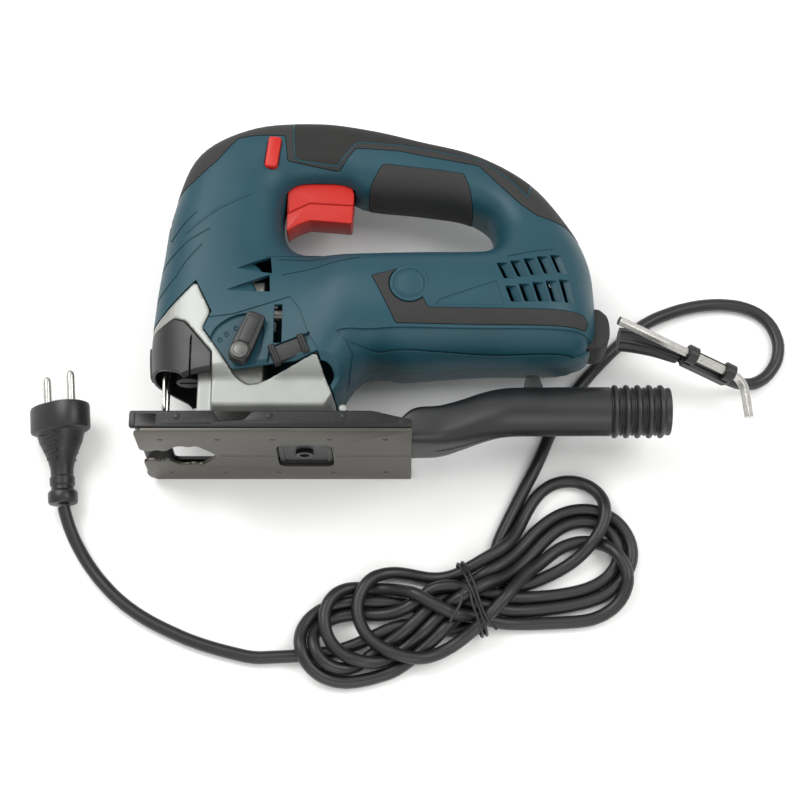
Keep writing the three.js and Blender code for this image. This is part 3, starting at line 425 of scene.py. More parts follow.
# ---- mains plug --------------------------------------------------------------------------
# A two-pole plug of black moulded rubber: a grooved collar round the lead, a waist, a
# flared grip and an oval face with two nickel-plated pins, 19 mm apart.
plug_end = Vector((-193.9, -121.4, 10.2))
plug_face = Vector((-198.4, -64.4, 17.9))
plug_axis = (plug_face - plug_end).normalized()
plug_turn = (Vector((0, 1, 0)).rotation_difference(plug_axis).to_matrix()
             @ Matrix.Rotation(math.radians(-36), 3, "Y"))
plug_long = (plug_face - plug_end).length


def oval(count, power):
    """Points round a squared circle of radius 1."""
    ring = []
    for k in range(count):
        angle = 2 * math.pi * k / count
        c, s = math.cos(angle), math.sin(angle)
        ring.append((math.copysign(abs(c) ** (2 / power), c), math.copysign(abs(s) ** (2 / power), s)))
    return ring


def plug_place(x, y, z):
    return plug_end + plug_turn @ Vector((x, y, z))


plug_profile = [
    (0, 6.6, 6.6, 2), (0.4, 7.8, 7.8, 2), (1.4, 8.4, 8.4, 2), (6.4, 8.4, 8.4, 2), (7.4, 7.8, 7.8, 2),
    (8.4, 6.5, 6.5, 2), (10.4, 6.4, 6.4, 2), (11.2, 7.1, 7.1, 2), (15.4, 7.1, 7.1, 2),
    (16.4, 6.4, 6.4, 2), (20, 6.4, 6.3, 2.1), (26, 7.6, 7.3, 2.3), (31, 9.8, 8.8, 2.5),
    (36, 12.2, 10.2, 2.6), (40.6, 13.6, 11, 2.6), (41.4, 14.4, 11.4, 2.5), (42, 17, 12.4, 2.4),
    (42.6, 18.2, 12.9, 2.4), (43.6, 18.7, 13.1, 2.4), (plug_long - 2, 18.7, 13.1, 2.4),
    (plug_long - 0.6, 18.2, 12.7, 2.4), (plug_long, 17.2, 11.9, 2.4),
]
plug_rings = [[plug_place(c * wide, y, s * deep) for c, s in oval(56, power)]
              for y, wide, deep, power in plug_profile]
plug_grip = outward(piece("plug_grip", *skin(plug_rings), black_cable))
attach(plug_grip, "housing")
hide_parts("plug_body")

for rib_side in (-1, 1):
    for rib in range(4):
        rib_y = 25.5 + rib * 4.2
        half = 6.5 + rib * 1.5
        rib_points = [plug_place(x, rib_y + 0.035 * x * x, rib_side * (7.1 + rib * 1.15 - 0.012 * x * x))
                      for x in (-half * 0.6, -half * 0.3, 0, half * 0.3, half * 0.6)]
        grip_rib = wire(f"plug_rib_{rib}_{'a' if rib_side < 0 else 'b'}", rib_points, 0.9, black_cable)
        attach(grip_rib, "housing")


def bright_metal(place):
    streak = place.node("Mapping", inlets={"Vector": place, "Scale": (60.0, 60.0, 900.0)}).grain(8.0)
    worn = place.grain(220.0, 4.0)
    return {
        "Base Color": worn.between(colour("a9a7a2"), colour("cfcdc8")),
        "Roughness": streak * 0.14 + 0.2,
    }


nickel = finish("bright_nickel", bright_metal, Metallic=1.0)
pin_profile = [(0, 2.4), (15.4, 2.4), (17, 2.2), (18.2, 1.6), (18.9, 0.6)]
for pin_name, pin_at in (("left", -9.5), ("right", 9.5)):
    pin_rings = [[plug_place(pin_at + c * r, plug_long + 0.3 + y, s * r) for c, s in oval(24, 2)]
                 for y, r in pin_profile]
    plug_pin = outward(piece(f"nickel_pin_{pin_name}", *skin(pin_rings), nickel))
    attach(plug_pin, "housing")
    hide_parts(f"plug_pin_{pin_name}")

# ---- hex key and its holder --------------------------------------------------------------
# A bent 5 mm hexagon key of bright steel, pushed into two round clips on a flat ribbed
# rubber strap that is moulded along the strain relief.
key_start = Vector((120.3, -27.5, 56))
key_corner = Vector((193.8, -51.3, 26))
key_tip = Vector((195.8, -74, 25))
key_line = (key_corner - key_start).normalized()
key_down = (key_tip - key_corner).normalized()
bend_start = key_corner - key_line * 8
bend_end = key_corner + key_down * 8
key_path = [key_start, key_start.lerp(bend_start, 0.5)]
for i in range(9):
    t = i / 8
    key_path.append(bend_start.lerp(key_corner, t).lerp(key_corner.lerp(bend_end, t), t))
key_path += [bend_end.lerp(key_tip, 0.5), key_tip]
key_flat = key_line.cross(key_down).normalized()
key_rings = []
for i, at in enumerate(key_path):
    ahead = (key_path[min(i + 1, len(key_path) - 1)] - key_path[max(i - 1, 0)]).normalized()
    side = key_flat.cross(ahead)
    key_rings.append([at + (side * math.cos(a) + key_flat * math.sin(a)) * 2.88
                      for a in (math.pi / 3 * k for k in range(6))])
key_steel = piece("key_steel", *skin(key_rings), nickel)
outward(key_steel)
key_edges = key_steel.modifiers.new("chamfers", "BEVEL")
key_edges.width = 0.0003
key_edges.segments = 2
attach(key_steel, "housing")
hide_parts("hex_key")

key_across = Vector((0, 0, 1)).cross(key_line).normalized()
key_up = key_line.cross(key_across)
key_long = (key_corner - key_start).length


def on_key(share, across, up):
    """A place beside the key, at a share of its long arm."""
    return key_start + key_line * key_long * share + key_across * across + key_up * up


strap_outline = [(5.4, -3.2), (5.4, -8.6), (3.2, -10.4), (-3.2, -10.4), (-5.4, -8.6), (-5.4, -3.2),
                 (-3.4, -2.9), (-2.2, -3.6), (-1.2, -2.9), (1.2, -2.9), (2.2, -3.6), (3.4, -2.9)]
strap_rings = [[on_key(share, across * size, (up + 6) * size - 6) for across, up in strap_outline]
               for share, size in ((0.54, 0.7), (0.56, 1), (0.9, 1), (0.93, 0.75))]
key_strap = outward(piece("key_strap", *skin(strap_rings), black_cable))
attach(key_strap, "housing")
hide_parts("key_holder")
key_clips = []
for clip_number, clip_at in enumerate((0.58, 0.88)):
    clip_rings = []
    for along, radius in ((-0.036, 4.7), (-0.033, 5.3), (0.033, 5.3), (0.036, 4.7)):
        clip_rings.append([on_key(clip_at + along, math.cos(a) * r, math.sin(a) * r)
                           for r in (radius,) for a in (2 * math.pi * k / 40 for k in range(40))])
    inner = [[on_key(clip_at + along, math.cos(a) * 3.0, math.sin(a) * 3.0)
              for a in (2 * math.pi * k / 40 for k in range(40))] for along in (0.036, -0.036)]
    key_clip = outward(piece(f"key_clip_{clip_number}", *skin(clip_rings + inner, closed=True), black_cable))
    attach(key_clip, "housing")
    key_clips.append(key_clip)

cord_pieces = [strain_relief, plug_grip, wire_tie, key_steel, key_strap, *key_clips]
cord_pieces += [bpy.data.objects[f"nickel_pin_{side}"] for side in ("left", "right")]
cord_pieces += [made for made in bpy.data.objects if made.name.startswith("plug_rib")]

# ---- motor housing -----------------------------------------------------------------------
# Two half shells of petrol glass-filled nylon, moulded hollow and screwed together along the
# middle of the tool. They carry the handle loop, the louvres and the seats of the rubber.
import bmesh
from mathutils.bvhtree import BVHTree

sole_low, sole_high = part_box("sole_plate")
tool = Vector((sole_high.x - 0.0064, sole_low.y, (sole_low.z + sole_high.z) / 2))
body_half = 39.5
body_square = 2.5
shell_wall = 3.2
rubber_deep = 1.6
FAR = 400
body_sections = [
    (-66.5, 150, -132, 145, 0.63), (-64.5, 158, -119, 183, 0.6),
    (-56, 163.5, -88, 201.5, 0.57), (-33, 163, -50, 205, 0.56),
    (-19, 156, -18, 201, 0.56), (12, 152.5, 12, 193, 0.56),
    (37, 148.5, 46, 183, 0.56), (50, 141.5, 77, 163, 0.6),
    (54, 134, 98, 135, 0.68), (54, 127, 108, 112, 0.8),
    (52, 121.5, 110.5, 90, 0.9), (46, 118.8, 109.5, 65, 0.96),
    (34, 118.3, 97, 53, 0.99), (10, 118.2, 45, 51.8, 1),
    (-14, 117.8, 5, 49, 1), (-36, 117.3, -22, 47, 0.97),
    (-50, 118.3, -50, 4, 0.89), (-59, 121.5, -92, -4, 0.81),
    (-63.5, 126, -131, 8, 0.75), (-66, 131, -140, 50, 0.71),
    (-67.2, 137, -139.2, 85, 0.69), (-67.5, 143, -136, 115, 0.66),
]


def solid(points, faces):
    """A closed mesh in the tool's own millimetres, right side out."""
    mesh = bpy.data.meshes.new("solid")
    mesh.from_pydata([tuple(p) for p in points], [], faces)
    mesh.calc_loop_triangles()
    at = [v.co for v in mesh.vertices]
    if sum(at[a].dot(at[b].cross(at[c])) for a, b, c in (t.vertices for t in mesh.loop_triangles)) < 0:
        mesh.flip_normals()
    return mesh


def round_trip(knots, count):
    """count points on a closed curve through the knots."""
    path = []
    for i in range(count):
        place = i / count * len(knots)
        k = int(place)
        t = place - k
        a, b, c, d = (knots[(k + n) % len(knots)] for n in (-1, 0, 1, 2))
        path.append((b * 2 + (c - a) * t + (a * 2 - b * 5 + c * 4 - d) * t * t
                     + (b * 3 - a - c * 3 + d) * t ** 3) / 2)
    return path


def body_form(drawn_in, sides=56, steps=150):
    """The housing's outer form round the handle opening, drawn in on every side."""
    opening = round_trip([Vector((x, y, share)) for x, y, _, _, share in body_sections], steps)
    outline = round_trip([Vector((x, y, share)) for _, _, x, y, share in body_sections], steps)
    rings = []
    for a, b in zip(opening, outline):
        half = a.z * body_half - drawn_in
        out = (b - a).to_2d()
        reach = out.length / 2 - drawn_in
        out = out.normalized().to_3d()
        middle = ((a + b) / 2).to_2d().to_3d()
        rings.append([middle + out * (c * reach) + Vector((0, 0, s * half))
                      for c, s in oval(sides, body_square)])
    return solid(*skin(rings, closed=True))


def inset(outline, depth):
    """The outline drawn in by a depth, or out where it is negative."""
    around = list(zip(outline[-1:] + outline[:-1], outline, outline[1:] + outline[:1]))
    area = sum(at[0] * after[1] - after[0] * at[1] for _, at, after in around)
    drawn = []
    for before, at, after in around:
        came = (Vector(at) - Vector(before)).normalized()
        goes = (Vector(after) - Vector(at)).normalized()
        along = came + goes
        inward = Vector((-along.y, along.x)).normalized()
        lean = max(inward.dot(Vector((-came.y, came.x))), 0.4)
        drawn.append(tuple(Vector(at) + inward * (math.copysign(depth, area * depth) / lean)
                           if depth else at))
    return drawn


def soften(outline, radius, steps=4):
    """The outline with its corners rounded."""
    rounded = []
    for before, at, after in zip(outline[-1:] + outline[:-1], outline, outline[1:] + outline[:1]):
        corner, back, ahead = Vector(at), Vector(before) - Vector(at), Vector(after) - Vector(at)
        a = corner + back.normalized() * min(radius, back.length * 0.45)
        b = corner + ahead.normalized() * min(radius, ahead.length * 0.45)
        rounded += [tuple(a.lerp(corner, t / steps).lerp(corner.lerp(b, t / steps), t / steps))
                    for t in range(steps + 1)]
    return rounded


def prism(outline, low, high, rim=0.0, along="Z"):
    """An outline drawn out between two levels along an axis, its rims rounded if asked."""
    levels = [(low, 0), (high, 0)]
    if rim:
        turns = [math.radians(30 * k) for k in range(4)]
        curve = [(rim * (1 - math.cos(t)), rim * (1 - math.sin(t))) for t in turns]
        levels = [(low + up, drawn) for up, drawn in curve]
        levels += [(high - up, drawn) for up, drawn in reversed(curve)]
    place = {"X": lambda u, v, w: (w, v, u), "Y": lambda u, v, w: (u, w, v),
             "Z": lambda u, v, w: (u, v, w)}[along]
    return solid(*skin([[place(u, v, level) for u, v in inset(outline, drawn)]
                        for level, drawn in levels]))


def box(x0, x1, y0, y1, z0, z1):
    return prism([(x0, y0), (x1, y0), (x1, y1), (x0, y1)], z0, z1)


def disc(radius, low, high, u, v, rim=0.0, along="Z", sides=40):
    """A round bar or disc about a centre in its own plane."""
    outline = [(u + radius * c, v + radius * s) for c, s in oval(sides, 2)]
    return prism(outline, low, high, rim, along)


def pocket(outline, floors, top=70):
    """A cutter whose floor has its own level under each corner of the outline."""
    return solid(*skin([[(x, y, z) for (x, y), z in zip(outline, floors)],
                        [(x, y, top) for x, y in outline]]))


def stroke(path, width):
    """The outline of a line of some width along points."""
    left, right = [], []
    for i, at in enumerate(path):
        ahead = (Vector(path[min(i + 1, len(path) - 1)]) - Vector(path[max(i - 1, 0)])).normalized()
        across = Vector((-ahead.y, ahead.x)) * width / 2
        left.append(tuple(Vector(at) + across))
        right.append(tuple(Vector(at) - across))
    return left + right[::-1]


def together(*solids):
    """Solids that don't touch, as one mesh."""
    joined = bmesh.new()
    for each in solids:
        joined.from_mesh(each)
    mesh = bpy.data.meshes.new("together")
    joined.to_mesh(mesh)
    joined.free()
    return mesh


def carved(base, *steps):
    """base after UNION, DIFFERENCE or INTERSECT with other solids, in turn."""
    work = bpy.data.objects.new("work", base.copy())
    bpy.context.scene.collection.objects.link(work)
    cutters = []
    for how, other in steps:
        cutter = bpy.data.objects.new("cutter", other)
        bpy.context.scene.collection.objects.link(cutter)
        cutters.append(cutter)
        cut = work.modifiers.new("cut", "BOOLEAN")
        cut.operation = how
        cut.solver = "MANIFOLD"
        cut.object = cutter
    made = bpy.data.meshes.new_from_object(work.evaluated_get(bpy.context.evaluated_depsgraph_get()))
    for used in (work, *cutters):
        bpy.data.objects.remove(used)
    return made


def mirrored(mesh):
    """The same solid on the other side of the tool."""
    turned = mesh.copy()
    turned.transform(Matrix.Scale(-1, 4, (0, 0, 1)))
    turned.flip_normals()
    return turned


def part(name, mesh, material, sharp=32):
    """A piece of the tool from a finished solid, in its place, with its rounded faces smooth."""
    mesh.transform(Matrix.Translation(tool) @ Matrix.Scale(0.001, 4))
    mesh.materials.clear()
    mesh.materials.append(material)
    mesh.shade_smooth()
    mesh.set_sharp_from_angle(angle=math.radians(sharp))
    made = bpy.data.objects.new(name, mesh)
    bpy.context.scene.collection.objects.link(made)
    return made


def petrol_moulding(place):
    speck = place.grain(1500.0)
    cloud = place.grain(28.0, 4.0)
    return {
        "Base Color": cloud.between(colour("153a45"), colour("1b4651")),
        "Roughness": cloud * 0.12 + 0.38,
        "Normal": place.relief(speck, 0.00005, 0.0006),
    }


petrol_nylon = finish("petrol_nylon", petrol_moulding, Specular_IOR_Level=0.3)
hull = body_form(0)
surface = BVHTree.FromPolygons([v.co for v in hull.vertices], [p.vertices for p in hull.polygons])


def height_at(x, y):
    """How far the left side of the housing stands from the middle there."""
    hit = surface.ray_cast(Vector((x, y, 100)), Vector((0, 0, -1)))[0]
    return hit.z if hit else 20.0


grip_zone = [
    (-160, 158), (-130, 154), (-117.8, 162.2), (-106, 173), (-94, 189.4), (-84, 190.6),
    (-66.8, 190.2), (-65.2, 173.7), (-34.8, 168.6), (-25.4, 181.7), (0, 179.7), (18, 175.6),
    (45.4, 170.3), (69.7, 143), (77.8, 135.8), (94, 129.9), (100, 125), (125, 118),
    (140, 240), (-160, 240)]
palm_zone = [
    (-19.2, 136), (-19.2, 152.5), (-16.9, 160.5), (-9.9, 171.8), (24, 167.5), (37, 165.2),
    (40.4, 156.5), (42.6, 146), (42.6, 132)]
band_zone = [
    (-2.6, 64.9), (-16, 92.8), (1.3, 97.8), (7, 88), (12.7, 79.1), (15.5, 73.5),
    (101.7, 72.6), (105, 69.8), (103, 64.2)]
rubber_zones = [soften(grip_zone, 1.6), soften(palm_zone, 2.0), soften(band_zone, 1.2)]
badge_at = (5.2, 87.6)
badge_radius = 8.3
under_shell = [
    (-160, -30), (-160, 61), (-134.6, 75.2), (-114.4, 95.4), (-104.8, 75.5), (-109.1, 65.6),
    (-91.1, 39), (-83.9, 34.2), (-79.1, 34.9), (-45.3, 49.5), (-36, 27.2), (-29.2, 23.6), (-29.2, -30)]
trigger_slot = box(-66.2, -25.9, 135, 172.5, -9.6, 9.6)
gland_slot = box(98, 140, 58.9, 85.1, -12.8, 12.8)
lock_middle = Vector((-73.6, 178.6))


def capsule(long, wide, middle, degrees, steps=10):
    """The outline of a bar with round ends."""
    half, radius = long / 2 - wide / 2, wide / 2
    turn = Matrix.Rotation(math.radians(degrees), 2)
    ends = [(half, -90), (-half, 90)]
    return [tuple(Vector(middle) + turn @ Vector((
        end + radius * math.cos(math.radians(start + 180 * k / steps)),
        radius * math.sin(math.radians(start + 180 * k / steps)))))
        for end, start in ends for k in range(steps + 1)]


lock_outline = capsule(20.5, 7.6, lock_middle, 83)
louvres = []
for row_x, row_low, low_step, row_high, high_step, lean, wide in (
        (57.6, 90.6, 1.2, 101.4, 1.4, 4.0, 6.2), (61.2, 76.6, 0.2, 86.0, 1.3, 3.2, 6.2)):
    for n in range(5):
        x0, x1 = row_x + n * 7.5, row_x + n * 7.5 + wide
        y0, y1 = row_low + n * low_step, row_high + n * high_step
        corners = soften([(x0, y0), (x1, y0), (x1 - lean, y1), (x0 - lean, y1)], 0.7, 3)
        floors = []
        for x, y in corners:
            share = (x + lean * (y - y0) / (y1 - y0) - x0) / wide
            floors.append(height_at(x, y) - 4.6 * (1 - share) - 0.2)
        louvres.append(pocket(corners, floors))
scoops = []
for corners in ([(-91.5, 102.4), (-73.2, 111.4), (-71.8, 99.4)], [(-97.0, 88.6), (-73.2, 98.6), (-72.6, 86.8)]):
    floors = [height_at(*corners[0]) - 0.1] + [height_at(x, y) - 5.0 for x, y in corners[1:]]
    scoops.append(pocket(corners, floors))
slot_outline = soften([(-69.8, 78.4), (-65.2, 78.4), (-65.2, 54.6), (-69.8, 54.6)], 0.5, 2)
groove_lines = [
    [(-137, 131), (-130.7, 124.1), (-123.1, 133), (-116, 140)],
    [(-139, 104), (-131.2, 111.5), (-119.2, 121.6), (-108, 128)],
    [(-139, 87), (-132, 92.9), (-126.1, 99.1), (-120.9, 107.8), (-112, 118)],
    [(-38.1, 24), (-30.1, 33.5), (-26.4, 50.1), (-31, 58)],
    [(-29.8, 35.9), (-25.9, 39.5), (0, 42.7), (40.6, 43.3), (48.6, 47.2), (96, 47.6)],
    [(60.3, 106.3), (85.6, 110.7)],
    [(-76.3, 44), (-71, 37.5), (-60, 43), (-48.3, 49.5)],
    [(-68.4, 109.7), (-58.9, 109.7), (-21.8, 106.6), (-66.4, 97.9)],
]
grooves = [prism(stroke(line, 0.9), 5, 60) for line in groove_lines]
plate_zone = soften([(19.2, 64.0 + 10.6), (22, 78.1), (53.7, 89.4), (57.6, 74.8)], 1.2)
step_zone = soften([(-92.4, 73.5), (-61.1, 83.2), (-55.3, 74.1), (-50.6, 59.6), (-45, 50.1), (-45, 20),
                    (-120, 20), (-120, 75), (-107, 72)], 1.5)
finger_scoop = soften([(-36, 60.5), (-30, 55.5), (-12, 53.5), (60, 53.5), (112, 54), (112, 62.6), (104, 63),
                       (-3, 63.2), (-28, 62.6)], 2.5)
ridge_lines = [[(-122.9, 125.9), (-104.8, 140.5), (-85.7, 151.4)], [(-76, 112), (-45, 116)]]
ridges = [prism(stroke(line, 1.1), 10, 60) for line in ridge_lines]
left_side = box(-FAR, FAR, -FAR, FAR, 0.12, FAR)
shoulder_zone = [(19.6, -20), (19.6, 18.3), (23.3, 22), (23.3, 37), (59.3, 73), (59.3, -20)]
foot_relief = together(*[prism([(z * side, y) for z, y in soften(shoulder_zone, 1.5)], -170, -23.5, along="X")
                         for side in (1, -1)])
inner_case = [box(-112.3, -75.7, 18.2, 97.3, -20.3, 20.3), box(-112.4, -84.7, 96, 143, -18.8, 18.8),
              box(-133, -111, 68, 79, -11, 11), box(-133, -111, 130, 141, -11, 11)]

seats = carved(together(*[prism(zone, -FAR, FAR) for zone in rubber_zones]), ("DIFFERENCE", body_form(rubber_deep + 0.3)))
shallow = carved(together(prism(finger_scoop, 10, FAR)), ("DIFFERENCE", body_form(1.3)))
shell_common = carved(
    hull,
    ("UNION", carved(together(*ridges), ("INTERSECT", body_form(-0.35)))),
    ("DIFFERENCE", carved(together(*grooves), ("DIFFERENCE", body_form(0.4)))),
    ("DIFFERENCE", shallow),
    ("DIFFERENCE", seats),
    ("DIFFERENCE", carved(disc(badge_radius + 0.3, 10, 60, *badge_at), ("DIFFERENCE", body_form(rubber_deep + 0.3)))),
    ("DIFFERENCE", carved(prism(plate_zone, 10, 60), ("DIFFERENCE", body_form(0.45)))),
    ("DIFFERENCE", body_form(shell_wall, 40, 110)),
    ("DIFFERENCE", prism(under_shell, -FAR, FAR)), ("DIFFERENCE", foot_relief),
    *[("DIFFERENCE", each) for each in inner_case],
    ("DIFFERENCE", trigger_slot), ("DIFFERENCE", gland_slot),
    ("DIFFERENCE", prism(capsule(21.1, 8.2, lock_middle, 83), 8, 60)),
    ("DIFFERENCE", together(*louvres, *scoops)),
    ("INTERSECT", left_side),
)

lever_recess = soften([(-77.6, 71.7), (-74.4, 64), (-76.4, 49), (-81.9, 38.6), (-87.3, 36.4), (-93, 40.4),
                       (-105.6, 58.2), (-103.6, 63.8), (-99.9, 68), (-92.9, 72.3), (-84.7, 74.1)], 3.0)
lever_post = (-87.6, 48.4)
slider_recess = soften([(-73.6, 40.6), (-52.2, 49.3), (-49.4, 60.4), (-71.6, 52.4)], 1.0)
left_shell = carved(
    shell_common,
    ("DIFFERENCE", carved(prism(step_zone, 15, 60), ("DIFFERENCE", body_form(0.6)))),
    ("DIFFERENCE", carved(prism(lever_recess, 15, 60), ("DIFFERENCE", body_form(2.4)))),
    ("DIFFERENCE", carved(prism(slot_outline, 15, 60), ("DIFFERENCE", body_form(6)))),
    ("DIFFERENCE", carved(prism(slider_recess, 20, 60), ("DIFFERENCE", body_form(2.6)))),
)
screw_places = [(-112, 132), (-88, 176), (52, 172), (92, 118), (98, 90), (28, 60), (-20, 52), (-44, 104)]
right_shell = carved(mirrored(shell_common), ("DIFFERENCE", together(*[
    disc(3.6, -60, -(height_at(*at) - 2.2), *at) for at in screw_places])))
for side_name, shell in (("left", left_shell), ("right", right_shell)):
    housing_shell = part(f"housing_shell_{side_name}", shell, petrol_nylon)
    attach(housing_shell, "housing")
    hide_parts(f"housing_{side_name}")

# ---- overmoulded rubber ------------------------------------------------------------------
# Soft black rubber moulded onto each shell: over the top of the handle, round the palm and in
# a band along the motor. It stands a shade proud, with a hairline gap to the petrol nylon.


def soft_black(place):
    speck = place.grain(1700.0)
    dust = place.grain(60.0, 5.0)
    return {
        "Base Color": dust.between(colour("242423"), colour("303030")),
        "Roughness": dust * 0.16 + 0.62,
        "Normal": place.relief(speck, 0.00009, 0.0005),
    }


def pimpled_black(place):
    dots = place.node("TexVoronoi", {"feature": "F1"}, "Distance", {
        "Vector": place, "Scale": 560.0, "Randomness": 0.12})
    dust = place.grain(60.0, 5.0)
    return {
        "Base Color": dust.between(colour("1f1f1e"), colour("2a2a29")),
        "Roughness": dust * 0.14 + 0.68,
        "Normal": place.relief(dots < 0.28, 0.0002),
    }


grip_rubber = finish("grip_rubber", soft_black, Specular_IOR_Level=0.32)
pimpled_rubber = finish("pimpled_rubber", pimpled_black, Specular_IOR_Level=0.28)
proud = body_form(-0.22)
core = body_form(rubber_deep)
panel_zone = [(-61.6, 230), (-61.6, 195.2), (-60.6, 176.2), (-57.6, 174.4), (-36.2, 171.8), (-26.6, 184.6),
              (-24, 186.2), (0, 184.6), (24, 180.2), (48, 174.4), (62, 163), (73, 150), (95, 240)]
panel_outer = inset(panel_zone, -0.9)
lock_clear = prism(capsule(21.1, 8.2, lock_middle, 83), 8, 60)
grip_half = carved(
    prism(inset(rubber_zones[0], 0.3), -FAR, FAR), ("INTERSECT", proud), ("DIFFERENCE", core),
    ("INTERSECT", left_side), ("DIFFERENCE", lock_clear))
panel_half = carved(prism(panel_zone, -FAR, FAR), ("INTERSECT", body_form(-0.3)), ("DIFFERENCE", body_form(0.9)),
                    ("INTERSECT", left_side))
line_half = carved(prism(panel_outer, -FAR, FAR), ("DIFFERENCE", prism(inset(panel_zone, -0.1), -FAR, FAR)),
                   ("INTERSECT", body_form(-0.26)), ("DIFFERENCE", body_form(0.9)), ("INTERSECT", left_side))
seat_half = carved(prism(inset(panel_outer, -0.1), -FAR, FAR), ("DIFFERENCE", body_form(0.95)))
grip_half = carved(grip_half, ("DIFFERENCE", seat_half))
palm_half = carved(prism(inset(rubber_zones[1], 0.3), -FAR, FAR), ("INTERSECT", proud), ("DIFFERENCE", core),
                   ("INTERSECT", left_side))
band_half = carved(prism(inset(rubber_zones[2], 0.3), -FAR, FAR), ("INTERSECT", proud), ("DIFFERENCE", core),
                   ("INTERSECT", left_side), ("DIFFERENCE", disc(badge_radius + 3.4, 10, 60, *badge_at)))
for piece_name, half, material, node, paint in (
        ("grip_cover", grip_half, grip_rubber, "top_grip", "rubber"),
        ("grip_panel", panel_half, pimpled_rubber, None, "rubber"),
        ("grip_piping", line_half, petrol_nylon, None, "petrol_plastic"),
        ("palm_pad", palm_half, grip_rubber, "palm_insert", "rubber"),
        ("motor_band", band_half, grip_rubber, "side_band", "rubber")):
    for side_name, mesh in (("left", half.copy()), ("right", mirrored(half))):
        cover = part(f"{piece_name}_{side_name}", mesh, material)
        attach(cover, "housing")
        if node:
            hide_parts(f"{node}_{side_name}")

# ---- badges ------------------------------------------------------------------------------
# A blank round badge of petrol nylon on each side, with a raised rim and a domed middle,
# pressed into a collar in the band.
badge_profile = [(10.9, -1.6), (10.9, -0.1), (10.5, 0.2), (9.1, 0.22), (8.8, -0.25), (8.2, -0.25), (7.9, 0.1),
                 (7.5, 0.28), (7.0, 0.28), (6.7, 0.05), (5, 0.22), (2.5, 0.36), (0.4, 0.4)]
badge_mesh = solid(*skin([[
    (badge_at[0] + radius * c, badge_at[1] + radius * s, height_at(*badge_at) + up) for c, s in oval(56, 2)]
    for radius, up in badge_profile]))
for side_name, mesh in (("left", badge_mesh.copy()), ("right", mirrored(badge_mesh))):
    badge_disc = part(f"badge_disc_{side_name}", mesh, petrol_nylon, 20)
    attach(badge_disc, "housing")
    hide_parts(f"badge_{side_name}")

# ---- gear case ---------------------------------------------------------------------------
# A die-cast aluminium block with the plunger's bearings, whose satin flanks show round the
# nose. Its edges are rounded by the casting and its faces keep a fine sandy grain.
trimmed = carved(body_form(0.15), ("DIFFERENCE", foot_relief))
case_zone = [
    (-114.5, 94.3), (-105.8, 75.5), (-110.1, 65.6), (-91.7, 38.3), (-84, 33.2), (-79, 33.9),
    (-45.9, 48.3), (-36.8, 26.4), (-29.9, 23), (-27.6, 19), (-103.6, 19), (-103.6, 50.6),
    (-119.4, 70.4), (-126, 73), (-132.5, 69.8), (-150, 62), (-150, 64.6), (-133.9, 74.9)]
lever_clear = [(-150, 62), (-132.5, 69.8), (-126, 73), (-119.4, 70.4), (-103.6, 50.6), (-103.6, 0), (-150, 0)]
case_half = 20.0
lower_bridge = box(-128.6, -111, 69.4, 77.6, -10.4, 10.4)
upper_bridge = box(-128.6, -111, 132, 140, -10.4, 10.4)
case_body = carved(
    prism(inset(soften(case_zone, 2.2), -0.3), -FAR, FAR), ("INTERSECT", trimmed),
    ("DIFFERENCE", carved(body_form(shell_wall + 0.4, 40, 110), ("INTERSECT", box(-FAR, -112, 51, FAR, -FAR, FAR)))),
    ("DIFFERENCE", prism(lever_clear, -FAR, FAR)))
case_cad = [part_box(name) for name in ("lower_plunger_bush", "upper_plunger_bush")]
bushes = [((low.y - tool.y) * 1000, (high.y - tool.y) * 1000) for low, high in case_cad]
case_block = carved(
    together(box(-112, -76, 18.6, 97, -case_half, case_half)), ("UNION", box(-112, -85, 96, 141, -18.5, 18.5)),
    *[("UNION", box(-128.6, -111, low, high, -10.4, 10.4)) for low, high in bushes])
case_whole = carved(
    case_body, ("UNION", case_block),
    ("DIFFERENCE", box(-113, -89, bushes[0][1] + 1, bushes[1][0] - 1, -17.5, 17.5)),
    ("DIFFERENCE", box(-90, -84, bushes[0][1] + 1, 93, -17.5, 17.5)),
    ("DIFFERENCE", box(-113, -81, 26.5, bushes[0][0] - 5, -16.5, 16.5)),
    ("DIFFERENCE", box(-113, -103.2, 0, bushes[0][0] - 5, -16.5, 16.5)),
    ("DIFFERENCE", disc(8.3, -85, -77, 0, 85.4, along="X")),
    ("DIFFERENCE", disc(5.0, -84, -75, 0, 85.4, along="X")),
    ("DIFFERENCE", disc(3.3, -90, -84, 0, 107.5, along="X")),
    ("DIFFERENCE", disc(7.35, bushes[0][0] - 10, bushes[1][1] + 10, -119, 0, along="Y")),
    ("DIFFERENCE", disc(3.3, 10, FAR, *lever_post)))
case_lug = disc(2.6, 8, 19.0, -31.4, 21.4, 0.8)
cast = bpy.data.objects.new("cast", carved(case_whole, ("UNION", case_lug)))
bpy.context.scene.collection.objects.link(cast)
for kind, settings in (("REMESH", {"mode": "VOXEL", "voxel_size": 0.75}), ("SMOOTH", {"factor": 0.5, "iterations": 4}),
                       ("DECIMATE", {"decimate_type": "COLLAPSE", "ratio": 0.22})):
    rounding = cast.modifiers.new(kind.lower(), kind)
    for name, value in settings.items():
        setattr(rounding, name, value)
cast_mesh = bpy.data.meshes.new_from_object(cast.evaluated_get(bpy.context.evaluated_depsgraph_get()))
bpy.data.objects.remove(cast)


def sand_cast(place):
    grain = place.grain(2600.0, 3.0)
    cloud = place.grain(45.0, 5.0)
    return {
        "Base Color": cloud.between(colour("8e908c"), colour("a3a5a1")),
        "Roughness": cloud * 0.14 + 0.4,
        "Normal": place.relief(grain, 0.00011),
    }


cast_aluminium = finish("cast_aluminium", sand_cast, Metallic=0.75)
gear_casting = part("gear_casting", cast_mesh, cast_aluminium, 60)
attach(gear_casting, "housing")
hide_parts("gear_case")

